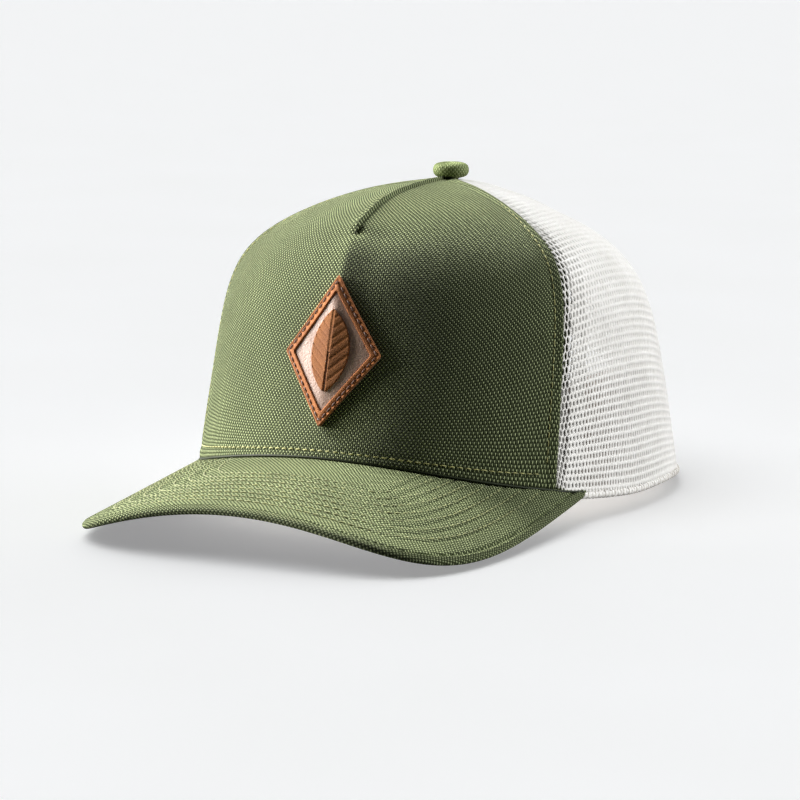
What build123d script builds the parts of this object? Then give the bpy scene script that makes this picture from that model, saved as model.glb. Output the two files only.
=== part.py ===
"""Trucker cap: one woven front panel, four mesh panels, a curved visor, a covered button,
a stitched-on leather patch and a two-strap snap closure over the rear arch.

Millimetres, +Z up, the front faces -Y and +X is the wearer's left.  The origin is on the
ground under the middle of the cap's bounding box, where it stands on its visor and rear hem.

Most cloth pieces are layers of one crown surface.  A point of that surface is given by its
azimuth around the button axis (0 at the front, 90 at the wearer's left, 180 at the back) and
by t, which runs from 0 at the hem to 1 under the button.  Depth is measured inwards from
the outside of the cloth.
"""

from build123d import *
from math import cos, degrees, radians, sin, sqrt
import os

os.makedirs("parts", exist_ok=True)

# ---------------------------------------------------------------- driving dimensions

# Head opening: a superellipse around the button axis.
front_reach = 112.8
back_reach = 94.8
half_width = 88.4
front_roundness = 2.19
back_roundness = 2.01

# Heights above the table.
crown_top = 117.8
crown_front = 26.3
crown_back = -0.45

# Meridian of the crown: a quartic Bezier curve from hem to button.  Each value is a cosine
# series in azimuth, as a share of the local radius or height.
foot_flare = 13.5
foot_height = (0.73, 0.0, -0.23, -0.09)
shoulder_radius = (0.88, -0.04, -0.07, -0.06)
shoulder_height = (0.69, -0.05, 0.0, -0.03)
top_radius = (0.55, 0.28, 0.16, 0.05)

# Panel seams.
front_seam_angle = 47.1
front_seam_bow = 6.8
rear_seam_angle = 114.0
seam_gap_angle = 0.15
button_hole_radius = 3.0

# Visor.
visor_projection = 63.1
visor_half_width = 80.6
visor_squareness = 4.63
visor_corner = 7.7
visor_arch_radius = 157.6
visor_slope = 0.11
visor_root_angle = 56.6
visor_thickness = 3.0
visor_cloth = 0.6
visor_wrap = 1.2
visor_gap = 0.15
stitch_row_count = 8
stitch_row_pitch = 4.5
stitch_row_start = 10.0
thread_width = 0.7
thread_height = 0.35

# Cloth layers: depth of the outer face and thickness.
front_cloth = (0.0, 0.8)
front_foam = (0.95, 1.5)
net = (0.0, 0.9)
seam_tape = (2.6, 0.4)
rear_tape = (1.1, 0.4)
topstitch = (-0.35, 0.3)
sweatband_front_depth = 3.3
sweatband_rear_depth = 4.85
sweatband_thickness = 1.2
sweatband_foot = 0.008
sweatband_top = 0.135
tape_width = 11.0
front_foot = -0.011
hem_height = 0.0115
hem_layer = (-0.45, 1.8)
net_foot = 0.0125

# Rear arch and its binding.
arch_half_width = 47.0
arch_rise = 44.0
arch_spring = 8.0
binding_width = 5.0
binding_rim = 0.9
binding_layer = (-0.5, 1.95)
binding_slot = (-0.1, 1.1)
binding_clearance = 0.15

# Snap closure.
strap_bottom = 2.2
strap_height = 16.5
strap_thickness = 1.2
hole_strap_depth = 1.7
peg_strap_depth = 3.3
strap_hinge_angle = 29.7
strap_hinge_gap = 0.6
strap_tip_x = 19.0
strap_tab_x = 62.0
snap_pitch = 8.6
snap_count = 7
snap_hole_radius = 2.5
peg_radius = 1.7
peg_length = 2.2
peg_clearance = 0.05

# Button.
button_radius = 6.9
button_height = 5.9
button_lift = 0.7
button_cloth = 0.7
rivet_radius = 1.6
washer_radius = 5.5
washer_thickness = 0.6

# Patch.
patch_side_angle = 10.9
patch_side_t = 0.27
patch_top_t = 0.53
patch_bottom_t = 0.07
patch_base = (-0.9, 0.75)
patch_border = (-1.7, 0.75)
patch_field = (-1.3, 0.35)
patch_emblem = (-1.9, 0.55)
patch_thread = (-2.0, 0.25)
patch_border_width = 3.1
patch_stitch_inset = 1.2
leaf_height = 26.0
leaf_width = 13.0
vein_width = 0.9

# Dart at the top of the front panel, and the blank care label.
dart_foot_t = 0.69
dart_width = 0.4
label_width = 22.0
label_drop = 24.0
label_depth = 5.6
label_thickness = 0.35

# The button axis stands behind the middle of the cap, because the visor reaches forwards.
# The rearmost piece is the strap, which is set in by a little from the line of the hem.
rear_inset = 2.1
crown_y = (front_reach + visor_projection - back_reach + rear_inset) / 2


# ---------------------------------------------------------------- the crown surface


def series(terms, azimuth):
    """Value of a cosine series at an azimuth in degrees."""
    return sum(term * cos(radians(order * azimuth)) for order, term in enumerate(terms))


def hem_radius(azimuth):
    """Distance of the hem from the button axis."""
    towards_front = cos(radians(azimuth)) > 0
    reach = front_reach if towards_front else back_reach
    power = front_roundness if towards_front else back_roundness
    across = (abs(sin(radians(azimuth))) / half_width) ** power
    along = (abs(cos(radians(azimuth))) / reach) ** power
    return (across + along) ** (-1 / power)


def visor_height(x, y):
    """Height of the visor's top face: a circular arch that slopes down towards the front."""
    arch = visor_arch_radius - sqrt(visor_arch_radius**2 - x**2)
    return crown_front + visor_slope * (y - crown_y + front_reach) - arch


def hem_height_at(azimuth):
    """Height of the hem: on the visor at the front, then a smooth fall to the back."""
    angle = abs((azimuth + 180) % 360 - 180)
    root = min(angle, visor_root_angle)
    radius = hem_radius(root)
    front = visor_height(radius * sin(radians(root)), crown_y - radius * cos(radians(root)))
    if angle <= visor_root_angle:
        return front
    step = 0.1
    before = root - step
    radius = hem_radius(before)
    inner = visor_height(radius * sin(radians(before)), crown_y - radius * cos(radians(before)))
    span = 180 - visor_root_angle
    slope = (front - inner) / step * span
    s = (angle - visor_root_angle) / span
    start = 2 * s**3 - 3 * s**2 + 1
    lean = s**3 - 2 * s**2 + s
    finish = 3 * s**2 - 2 * s**3
    return start * front + lean * slope + finish * crown_back


def crown_point(azimuth, t):
    """Point on the outside of the crown."""
    radius = hem_radius(azimuth)
    foot = hem_height_at(azimuth)
    rise = crown_top - foot
    poles = (
        (radius, foot),
        (radius - foot_flare, foot + series(foot_height, azimuth) * rise),
        (series(shoulder_radius, azimuth) * radius, foot + series(shoulder_height, azimuth) * rise),
        (series(top_radius, azimuth) * radius, crown_top),
        (0.0, crown_top),
    )
    weights = ((1 - t) ** 4, 4 * t * (1 - t) ** 3, 6 * t**2 * (1 - t) ** 2, 4 * t**3 * (1 - t), t**4)
    distance = sum(weight * pole[0] for weight, pole in zip(weights, poles))
    height = sum(weight * pole[1] for weight, pole in zip(weights, poles))
    return Vector(distance * sin(radians(azimuth)), crown_y - distance * cos(radians(azimuth)), height)


def layer_point(azimuth, t, depth):
    """Point at a depth below the outside of the crown, along its normal."""
    step = 0.002
    around = crown_point(azimuth + 0.1, t) - crown_point(azimuth - 0.1, t)
    upwards = crown_point(azimuth, t + step) - crown_point(azimuth, t - step)
    return crown_point(azimuth, t) - around.cross(upwards).normalized() * depth


def under_button(azimuth):
    """The t at which a panel ends, on the rim of the button hole."""
    return 1 - button_hole_radius / (4 * series(top_radius, azimuth) * hem_radius(azimuth))


def front_seam(t):
    """Azimuth of the seam between the front panel and a side panel."""
    return front_seam_angle + front_seam_bow * 4 * t * (1 - t)


def fixed(azimuth):
    """An edge that stays at one azimuth."""
    return lambda t: azimuth


def beside(edge, offset):
    """An edge at a fixed angle beside another one."""
    return lambda t: edge(t) + offset


def mirrored(edge):
    """The same edge on the wearer's right."""
    return lambda t: -edge(t)


def tape_edge(edge, side):
    """An edge half a tape's width from a seam, measured along the crown."""

    def azimuth(t):
        point = crown_point(edge(t), t)
        distance = max(sqrt(point.X**2 + (point.Y - crown_y) ** 2), tape_width)
        return edge(t) + side * degrees(tape_width / 2 / distance)

    return azimuth


def crown_face(start, end, low, high, depth, columns=17, rows=25):
    """Patch of the crown between two edges, from t = low to t = high.

    With high = None it runs up to the button hole.  depth is a number or a function of azimuth.
    """
    depth_at = depth if callable(depth) else lambda azimuth: depth
    grid = []
    for column in range(columns):
        across = column / (columns - 1)
        top_azimuth = start(1.0) + across * (end(1.0) - start(1.0))
        finish = under_button(top_azimuth) if high is None else high
        line = []
        for row in range(rows):
            t = low + row / (rows - 1) * (finish - low)
            azimuth = start(t) + across * (end(t) - start(t))
            line.append(layer_point(azimuth, t, depth_at(azimuth)))
        grid.append(line)
    return Face.make_surface_from_array_of_points(grid, tol=0.02)


def arch_solid(offset):
    """Solid that runs through the back of the cap with the outline of the rear arch."""
    width = arch_half_width + offset
    rise = arch_rise + offset
    with BuildPart() as arch:
        with BuildSketch(rear_plane):
            Ellipse(width, rise)
            with Locations((0, -rise)):
                Rectangle(2 * width, 2 * rise, mode=Mode.SUBTRACT)
            with Locations((0, -arch_spring)):
                Rectangle(2 * width, 2 * arch_spring)
        extrude(amount=-reach_through)
    return arch.part


def crown_layer(face, thickness):
    """Solid made by thickening a face of the crown inwards."""
    with BuildPart() as layer:
        thicken(face, amount=-thickness)
    return layer.part


def diamond(inset):
    """Outline of the patch, seen from the front, shrunk by an inset on every side."""
    top = crown_point(0, patch_top_t)
    bottom = crown_point(0, patch_bottom_t)
    side = crown_point(patch_side_angle, patch_side_t)
    with BuildSketch(front_plane) as outline:
        with BuildLine():
            Polyline((0, top.Z), (side.X, side.Z), (0, bottom.Z), (-side.X, side.Z), close=True)
        make_face()
        if inset > 0:
            offset(amount=-inset, kind=Kind.INTERSECTION, mode=Mode.REPLACE)
    return outline.sketch


def patch_layer(layer):
    """Slab of the crown in front of the panel, wide enough for the whole patch."""
    reach = patch_side_angle + 6
    face = crown_face(fixed(-reach), fixed(reach), 0.02, patch_top_t + 0.06, layer[0], 9, 13)
    return crown_layer(face, layer[1])


def visor_outline(inset):
    """Plan of the visor as a face on the ground, with its free edge drawn in by an inset."""
    root_radius = hem_radius(visor_root_angle)
    root_x = root_radius * sin(radians(visor_root_angle)) - inset
    root_y = crown_y - root_radius * cos(radians(visor_root_angle))
    front_y = crown_y - front_reach - visor_projection + inset
    half = visor_half_width - inset
    points = []
    for step in range(-20, 21):
        turn = step / 20 * 90
        across = abs(sin(radians(turn))) ** (2 / visor_squareness)
        forwards = abs(cos(radians(turn))) ** (2 / visor_squareness)
        narrowing = 1 - (1 - root_x / half) * (1 - forwards) ** visor_corner
        x = half * across * narrowing
        points.append((x if turn > 0 else -x, root_y + (front_y - root_y) * forwards))
    with BuildSketch() as outline:
        with BuildLine():
            Spline(points)
            Line(points[-1], points[0])
        make_face()
    return outline.sketch


def visor_slab(top, bottom):
    """Arched slab between two depths below the visor's top face, wider than the visor."""
    front_y = crown_y - front_reach - visor_projection - 5
    section = Plane(origin=(0, front_y, visor_height(0, front_y)), x_dir=(1, 0, 0), z_dir=(0, -1, 0))
    width = 2 * visor_half_width + 8
    with BuildPart() as slab:
        with BuildSketch(section):
            with Locations((0, -visor_arch_radius)):
                Circle(visor_arch_radius - top)
                Circle(visor_arch_radius - bottom, mode=Mode.SUBTRACT)
            with Locations((0, -30)):
                Rectangle(width, 90, mode=Mode.INTERSECT)
        extrude(amount=150, dir=(0, 1, visor_slope))
    return slab.part


def under_crown():
    """Everything inside the outside of the crown at hem level, which the visor stops short of."""
    face = crown_face(fixed(-75), fixed(75), -0.05, 0.05, -visor_gap, 25, 5)
    core = crown_layer(face, 6)
    points = [layer_point(angle, 0, 3) for angle in range(-90, 91, 6)]
    with BuildPart() as inside:
        with BuildSketch():
            with BuildLine():
                Spline([(point.X, point.Y) for point in points])
                Line((points[-1].X, points[-1].Y), (points[0].X, points[0].Y))
            make_face()
        extrude(amount=60)
        add(core)
    return inside.part


rear_plane = Plane(origin=(0, crown_y + 25, arch_spring), x_dir=(1, 0, 0), z_dir=(0, -1, 0))
front_plane = Plane(origin=(0, crown_y - 35, 0), x_dir=(1, 0, 0), z_dir=(0, -1, 0))
reach_through = 110
visor_top_limit = 60
crown_core = under_crown()
arch_opening = arch_solid(0)
binding_seat = arch_solid(binding_width + binding_clearance)

# ---------------------------------------------------------------- front panel

# One woven piece, split near the top by a short dart that gathers it under the button.
dart_foot = crown_point(0, dart_foot_t)

with BuildPart() as front_panel:
    thicken(
        crown_face(mirrored(front_seam), front_seam, front_foot, None, front_cloth[0]),
        amount=-front_cloth[1],
    )
    with BuildSketch(Plane.XY.offset(dart_foot.Z - 20)):
        with Locations((0, (dart_foot.Y + crown_y) / 2)):
            Rectangle(dart_width, crown_y - dart_foot.Y)
    extrude(amount=60, mode=Mode.SUBTRACT)
front_panel.part.label = "front_panel"
export_step(front_panel.part, "parts/front_panel.step")

with BuildPart() as front_panel_foam:
    thicken(
        crown_face(
            beside(mirrored(front_seam), 0.6),
            beside(front_seam, -0.6),
            front_foot,
            None,
            front_foam[0],
        ),
        amount=-front_foam[1],
    )
front_panel_foam.part.label = "front_panel_foam"
export_step(front_panel_foam.part, "parts/front_panel_foam.step")

# ---------------------------------------------------------------- mesh panels

net_edges = {
    "side_mesh_left": (beside(front_seam, seam_gap_angle), fixed(rear_seam_angle - seam_gap_angle)),
    "side_mesh_right": (
        fixed(seam_gap_angle - rear_seam_angle),
        beside(mirrored(front_seam), -seam_gap_angle),
    ),
    "back_mesh_left": (fixed(rear_seam_angle + seam_gap_angle), fixed(180 - seam_gap_angle)),
    "back_mesh_right": (fixed(180 + seam_gap_angle), fixed(360 - rear_seam_angle - seam_gap_angle)),
}
for name, (start, end) in net_edges.items():
    with BuildPart() as mesh_panel:
        thicken(crown_face(start, end, net_foot, None, net[0]), amount=-net[1])
        if name.startswith("back"):
            add(binding_seat, mode=Mode.SUBTRACT)
    mesh_panel.part.label = name
    export_step(mesh_panel.part, f"parts/{name}.step")

# ---------------------------------------------------------------- hem and arch binding

# The hem runs from the front seam round to the binding of the rear arch on each side.
hem_edges = {
    "hem_left": (beside(front_seam, 0.6), fixed(176)),
    "hem_right": (fixed(184), beside(mirrored(front_seam), -0.6)),
}
for name, (start, end) in hem_edges.items():
    if name == "hem_right":
        end = beside(end, 360)
    with BuildPart() as hem:
        thicken(
            crown_face(start, end, 0.0, hem_height, hem_layer[0], columns=41, rows=5),
            amount=-hem_layer[1],
        )
        add(binding_seat, mode=Mode.SUBTRACT)
    hem.part.label = name
    export_step(hem.part, f"parts/{name}.step")

# A tape folded over the raw edge of the arch, with a slot for the net.
slot_face = crown_face(fixed(138), fixed(222), -0.03, 0.42, binding_slot[0])
slot_solid = crown_layer(slot_face, binding_slot[1])
binding_outside = arch_solid(binding_width)
binding_mouth = arch_solid(binding_rim)

with BuildPart() as net_slot:
    add(slot_solid)
    add(binding_mouth, mode=Mode.SUBTRACT)

with BuildPart() as rear_arch_binding:
    thicken(
        crown_face(fixed(140), fixed(220), 0.0, 0.4, binding_layer[0]),
        amount=-binding_layer[1],
    )
    add(binding_outside, mode=Mode.INTERSECT)
    add(arch_opening, mode=Mode.SUBTRACT)
    add(net_slot.part, mode=Mode.SUBTRACT)
rear_arch_binding.part.label = "rear_arch_binding"
export_step(rear_arch_binding.part, "parts/rear_arch_binding.step")

# ---------------------------------------------------------------- seam tapes

rear_seam = fixed(rear_seam_angle)
back_seam = fixed(180)
tapes = {
    "front_seam_tape_left": (front_seam, seam_tape, 0.0),
    "front_seam_tape_right": (beside(mirrored(front_seam), 360), seam_tape, 0.0),
    "rear_seam_tape_left": (rear_seam, rear_tape, net_foot),
    "rear_seam_tape_right": (fixed(360 - rear_seam_angle), rear_tape, net_foot),
    "back_seam_tape": (back_seam, rear_tape, net_foot),
}
for name, (seam, layer, foot) in tapes.items():
    edges = (tape_edge(seam, -1), tape_edge(seam, 1))
    with BuildPart() as tape:
        thicken(crown_face(*edges, foot, 0.93, layer[0], columns=5), amount=-layer[1])
        if name == "back_seam_tape":
            add(binding_seat, mode=Mode.SUBTRACT)
    tape.part.label = name
    export_step(tape.part, f"parts/{name}.step")

# ---------------------------------------------------------------- sweatband and label


def sweatband_depth(azimuth):
    """The band lies on the front lining and stands further in at the back, over the straps."""
    share = min(max((abs(azimuth) - 90) / 45, 0), 1)
    ease = share**2 * (3 - 2 * share)
    return sweatband_front_depth + ease * (sweatband_rear_depth - sweatband_front_depth)


with BuildPart() as sweatband:
    thicken(
        crown_face(
            fixed(-149), fixed(149), sweatband_foot, sweatband_top, sweatband_depth, columns=61, rows=9
        ),
        amount=-sweatband_thickness,
    )
sweatband.part.label = "sweatband"
export_step(sweatband.part, "parts/sweatband.step")

# A blank woven loop that hangs from the top edge of the sweatband.
label_angle = degrees(label_width / 2 / half_width)
with BuildPart() as care_label:
    thicken(
        crown_face(
            fixed(100 - label_angle),
            fixed(100 + label_angle),
            sweatband_top - 0.085,
            sweatband_top + 0.01,
            label_depth,
            columns=5,
            rows=5,
        ),
        amount=-label_thickness,
    )
care_label.part.label = "care_label"
export_step(care_label.part, "parts/care_label.step")

# ---------------------------------------------------------------- visor

board_top = visor_cloth + visor_gap
board_bottom = visor_thickness - visor_cloth - visor_gap

with BuildPart() as visor_plan:
    add(visor_outline(0))
    extrude(amount=visor_top_limit)

with BuildPart() as visor_inner_plan:
    add(visor_outline(visor_wrap + visor_gap))
    extrude(amount=visor_top_limit)

with BuildPart() as visor_cavity_plan:
    add(visor_outline(visor_wrap))
    extrude(amount=visor_top_limit)

with BuildPart() as visor_board:
    add(visor_slab(board_top, board_bottom))
    add(visor_inner_plan.part, mode=Mode.INTERSECT)
    add(crown_core, mode=Mode.SUBTRACT)
visor_board.part.label = "visor_board"
export_step(visor_board.part, "parts/visor_board.step")

# The top cloth wraps the free edge, and the under cloth is set in behind that wrap.
with BuildPart() as cover_cavity:
    add(visor_slab(visor_cloth, visor_thickness + 1))
    add(visor_cavity_plan.part, mode=Mode.INTERSECT)

with BuildPart() as visor_top_cover:
    add(visor_slab(0, visor_thickness))
    add(visor_plan.part, mode=Mode.INTERSECT)
    add(cover_cavity.part, mode=Mode.SUBTRACT)
    add(crown_core, mode=Mode.SUBTRACT)
visor_top_cover.part.label = "visor_top_cover"
export_step(visor_top_cover.part, "parts/visor_top_cover.step")

with BuildPart() as visor_under_cover:
    add(visor_slab(visor_thickness - visor_cloth, visor_thickness))
    add(visor_inner_plan.part, mode=Mode.INTERSECT)
    add(crown_core, mode=Mode.SUBTRACT)
visor_under_cover.part.label = "visor_under_cover"
export_step(visor_under_cover.part, "parts/visor_under_cover.step")

# Concentric rows of stitching on the top cloth.
thread_top = crown_layer(
    crown_face(fixed(-75), fixed(75), -0.05, 0.05, -visor_gap - thread_width, 25, 5), 6
)
with BuildPart() as visor_stitching:
    for row in range(stitch_row_count):
        inset = stitch_row_start + row * stitch_row_pitch
        with BuildSketch():
            add(visor_outline(inset))
            add(visor_outline(inset + thread_width), mode=Mode.SUBTRACT)
        extrude(amount=visor_top_limit)
    add(visor_slab(-0.05 - thread_height, -0.05), mode=Mode.INTERSECT)
    add(crown_core, mode=Mode.SUBTRACT)
    add(thread_top, mode=Mode.SUBTRACT)
visor_stitching.part.label = "visor_stitching"
export_step(visor_stitching.part, "parts/visor_stitching.step")

# ---------------------------------------------------------------- topstitching

stitch_angle = 2.7
stitch_half_angle = 0.2
stitch_low = 0.02
visor_seam_low = 0.016
visor_seam_high = 0.0185

left_row = beside(front_seam, -stitch_angle)
right_row = mirrored(left_row)
with BuildPart() as front_topstitching:
    for row in (left_row, right_row):
        edges = (beside(row, -stitch_half_angle), beside(row, stitch_half_angle))
        thicken(
            crown_face(*edges, stitch_low, 0.95, topstitch[0], columns=3, rows=31),
            amount=-topstitch[1],
        )
    edges = (beside(right_row, 1), beside(left_row, -1))
    thicken(
        crown_face(*edges, visor_seam_low, visor_seam_high, topstitch[0], columns=31, rows=3),
        amount=-topstitch[1],
    )
front_topstitching.part.label = "front_topstitching"
export_step(front_topstitching.part, "parts/front_topstitching.step")

# ---------------------------------------------------------------- patch

patch_gap = 0.15
front_reach_through = 90


def patch_prism(outline):
    """Solid with a patch outline, running forwards through the front of the crown."""
    with BuildPart() as prism:
        add(outline)
        extrude(amount=front_reach_through, dir=(0, -1, 0))
    return prism.part


whole_diamond = patch_prism(diamond(0))
inner_diamond = patch_prism(diamond(patch_border_width))
field_diamond = patch_prism(diamond(patch_border_width + patch_gap))
stitch_outer = patch_prism(diamond(patch_stitch_inset))
stitch_inner = patch_prism(diamond(patch_stitch_inset + thread_width))

with BuildPart() as patch_backing:
    add(patch_layer(patch_base))
    add(whole_diamond, mode=Mode.INTERSECT)
patch_backing.part.label = "patch_backing"
export_step(patch_backing.part, "parts/patch_backing.step")

with BuildPart() as patch_frame:
    add(patch_layer(patch_border))
    add(whole_diamond, mode=Mode.INTERSECT)
    add(inner_diamond, mode=Mode.SUBTRACT)
patch_frame.part.label = "patch_frame"
export_step(patch_frame.part, "parts/patch_frame.step")

with BuildPart() as patch_inlay:
    add(patch_layer(patch_field))
    add(field_diamond, mode=Mode.INTERSECT)
patch_inlay.part.label = "patch_inlay"
export_step(patch_inlay.part, "parts/patch_inlay.step")

with BuildPart() as patch_stitching:
    add(patch_layer(patch_thread))
    add(stitch_outer, mode=Mode.INTERSECT)
    add(stitch_inner, mode=Mode.SUBTRACT)
patch_stitching.part.label = "patch_stitching"
export_step(patch_stitching.part, "parts/patch_stitching.step")

# The emblem is a plain leaf: two arcs that meet in points, with an open centre vein.
leaf_middle = (crown_point(0, patch_top_t).Z + crown_point(0, patch_bottom_t).Z) / 2
with BuildSketch(front_plane) as leaf:
    with BuildLine():
        for side in (-1, 1):
            ThreePointArc(
                (0, leaf_middle - leaf_height / 2),
                (side * leaf_width / 2, leaf_middle),
                (0, leaf_middle + leaf_height / 2),
            )
    make_face()
    with Locations((0, leaf_middle - leaf_height / 4)):
        Rectangle(vein_width, leaf_height / 2, mode=Mode.SUBTRACT)

with BuildPart() as patch_leaf:
    add(patch_layer(patch_emblem))
    add(patch_prism(leaf.sketch), mode=Mode.INTERSECT)
patch_leaf.part.label = "patch_leaf"
export_step(patch_leaf.part, "parts/patch_leaf.step")

# ---------------------------------------------------------------- button

button_base = crown_top + button_lift
neck_radius = button_radius * 0.55
core_base = button_base + button_cloth
core_radius = button_radius - button_cloth
button_plane = Plane(origin=(0, crown_y, 0), x_dir=(1, 0, 0), z_dir=(0, -1, 0))

with BuildPart() as button_cover:
    with BuildSketch(button_plane):
        with BuildLine():
            Line((0, button_base), (neck_radius, button_base))
            Spline(
                (neck_radius, button_base),
                (button_radius * 0.93, button_base + button_height * 0.22),
                (button_radius, button_base + button_height * 0.5),
                (button_radius * 0.84, button_base + button_height * 0.86),
                (0, button_base + button_height),
                tangents=((1, 0), (-1, 0)),
            )
            Line((0, button_base + button_height), (0, button_base))
        make_face()
    revolve(axis=Axis((0, crown_y, 0), (0, 0, 1)))
    with BuildSketch(Plane.XY.offset(core_base)):
        with Locations((0, crown_y)):
            Circle(core_radius * 0.8)
    extrude(amount=button_height - 2 * button_cloth, mode=Mode.SUBTRACT)
    with BuildSketch(Plane.XY.offset(button_base - 1)):
        with Locations((0, crown_y)):
            Circle(neck_radius * 0.7)
    extrude(amount=3, mode=Mode.SUBTRACT)
button_cover.part.label = "button_cover"
export_step(button_cover.part, "parts/button_cover.step")

core_height = button_height - 2 * button_cloth - 0.3
rivet_top = core_base + core_height * 0.6
with BuildPart() as button_core:
    with BuildSketch(Plane.XY.offset(core_base + 0.15)):
        with Locations((0, crown_y)):
            Circle(core_radius * 0.8 - 0.15)
    extrude(amount=core_height)
    fillet(button_core.edges().group_by(Axis.Z)[-1], radius=1.2)
    with BuildSketch(Plane.XY.offset(core_base)):
        with Locations((0, crown_y)):
            Circle(rivet_radius + 0.05)
    extrude(amount=rivet_top + 0.1 - core_base, mode=Mode.SUBTRACT)
button_core.part.label = "button_core"
export_step(button_core.part, "parts/button_core.step")

# The rivet's flange bears on a washer under the crown, below every layer of cloth.
layers_bottom = crown_top - seam_tape[0] - seam_tape[1] - 0.9
with BuildPart() as button_washer:
    with BuildSketch(Plane.XY.offset(layers_bottom - washer_thickness)):
        with Locations((0, crown_y)):
            Circle(washer_radius)
            Circle(rivet_radius + 0.05, mode=Mode.SUBTRACT)
    extrude(amount=washer_thickness)
button_washer.part.label = "button_washer"
export_step(button_washer.part, "parts/button_washer.step")

flange_thickness = 0.8
flange_bottom = layers_bottom - washer_thickness - flange_thickness - 0.02
with BuildPart() as button_rivet:
    with BuildSketch(Plane.XY.offset(flange_bottom)):
        with Locations((0, crown_y)):
            Circle(rivet_radius * 2)
    extrude(amount=flange_thickness)
    with BuildSketch(Plane.XY.offset(flange_bottom)):
        with Locations((0, crown_y)):
            Circle(rivet_radius)
    extrude(amount=rivet_top - flange_bottom)
button_rivet.part.label = "button_rivet"
export_step(button_rivet.part, "parts/button_rivet.step")

# ---------------------------------------------------------------- snap closure

strap_middle = strap_bottom + strap_height / 2
closure_plane = Plane(origin=(0, crown_y + 25, 0), x_dir=(1, 0, 0), z_dir=(0, -1, 0))
strap_round = 4.0
strap_low_t = -0.02
strap_high_t = 0.12
hinge_gap_angle = degrees(strap_hinge_gap / back_reach)
free_angle = strap_hinge_angle - hinge_gap_angle
tab_angle = strap_hinge_angle + hinge_gap_angle
closure_angle = 50


def strap_band(low_angle, high_angle, depth, thickness=strap_thickness):
    """Band of the crown at the back, between two angles from the middle of the back."""
    face = crown_face(
        fixed(180 - high_angle), fixed(180 - low_angle), strap_low_t, strap_high_t, depth, 25, 7
    )
    return crown_layer(face, thickness)


def strap_prism(low_x, high_x, rounded_end=None):
    """Solid that runs through the back with a strap's outline, rounded at its free end."""
    with BuildPart() as prism:
        with BuildSketch(closure_plane):
            with Locations(((low_x + high_x) / 2, strap_middle)):
                outline = Rectangle(high_x - low_x, strap_height)
            if rounded_end is not None:
                fillet(outline.vertices().group_by(Axis.X)[rounded_end], radius=strap_round)
        extrude(amount=-reach_through)
    return prism.part


snap_x = [(index - 1.5) * snap_pitch for index in range(snap_count)]

with BuildPart() as hole_strap:
    add(strap_band(-closure_angle, free_angle, hole_strap_depth))
    add(strap_prism(-strap_tip_x, strap_tab_x, 0), mode=Mode.INTERSECT)
    with BuildSketch(closure_plane):
        with Locations([(x, strap_middle) for x in snap_x]):
            Circle(snap_hole_radius)
    extrude(amount=-reach_through, mode=Mode.SUBTRACT)
hole_strap.part.label = "hole_strap"
export_step(hole_strap.part, "parts/hole_strap.step")

with BuildPart() as hole_strap_tab:
    add(strap_band(tab_angle, closure_angle, hole_strap_depth))
    add(strap_prism(0, strap_tab_x), mode=Mode.INTERSECT)
hole_strap_tab.part.label = "hole_strap_tab"
export_step(hole_strap_tab.part, "parts/hole_strap_tab.step")

# Pegs stand out of the inner strap.  Their far ends follow the strap's own curve.
peg_band = strap_band(
    -closure_angle, closure_angle, peg_strap_depth - peg_length, peg_length - peg_clearance
)
with BuildPart() as snap_pegs:
    with BuildSketch(closure_plane):
        with Locations([(-x, strap_middle) for x in snap_x]):
            Circle(peg_radius)
    extrude(amount=-reach_through)
    add(peg_band, mode=Mode.INTERSECT)
snap_pegs.part.label = "snap_pegs"
export_step(snap_pegs.part, "parts/snap_pegs.step")

with BuildPart() as peg_strap:
    add(strap_band(-free_angle, closure_angle, peg_strap_depth))
    add(strap_prism(-strap_tab_x, strap_tip_x, -1), mode=Mode.INTERSECT)
peg_strap.part.label = "peg_strap"
export_step(peg_strap.part, "parts/peg_strap.step")

with BuildPart() as peg_strap_tab:
    add(strap_band(-closure_angle, -tab_angle, peg_strap_depth))
    add(strap_prism(-strap_tab_x, 0), mode=Mode.INTERSECT)
peg_strap_tab.part.label = "peg_strap_tab"
export_step(peg_strap_tab.part, "parts/peg_strap_tab.step")
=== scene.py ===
"""Looks of the trucker cap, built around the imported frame.  Lengths are in millimetres until
a mesh is made, where they become metres."""

import math

import bpy
import bmesh
import numpy as np
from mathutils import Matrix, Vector
from mathutils.geometry import delaunay_2d_cdt


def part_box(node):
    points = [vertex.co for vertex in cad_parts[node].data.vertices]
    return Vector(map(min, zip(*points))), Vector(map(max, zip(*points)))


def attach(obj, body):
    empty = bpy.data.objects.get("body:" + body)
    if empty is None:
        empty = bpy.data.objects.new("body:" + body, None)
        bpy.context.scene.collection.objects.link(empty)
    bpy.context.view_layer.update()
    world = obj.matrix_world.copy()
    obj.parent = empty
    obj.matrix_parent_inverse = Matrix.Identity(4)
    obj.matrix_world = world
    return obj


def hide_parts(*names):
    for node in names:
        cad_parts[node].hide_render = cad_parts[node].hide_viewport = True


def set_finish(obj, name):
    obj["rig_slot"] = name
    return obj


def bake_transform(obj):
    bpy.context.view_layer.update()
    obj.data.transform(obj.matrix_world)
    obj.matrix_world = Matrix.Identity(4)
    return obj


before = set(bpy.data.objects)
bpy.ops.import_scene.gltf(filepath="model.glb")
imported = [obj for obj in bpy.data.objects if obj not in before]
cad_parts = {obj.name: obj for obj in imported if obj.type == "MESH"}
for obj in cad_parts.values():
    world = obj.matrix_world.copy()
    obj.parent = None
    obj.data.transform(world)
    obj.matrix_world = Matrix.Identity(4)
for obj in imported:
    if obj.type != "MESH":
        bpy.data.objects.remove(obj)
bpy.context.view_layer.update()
MM = 0.001
rng = np.random.default_rng(7)

# ------------------------------------------------------------------ the cap's driving sizes

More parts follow.
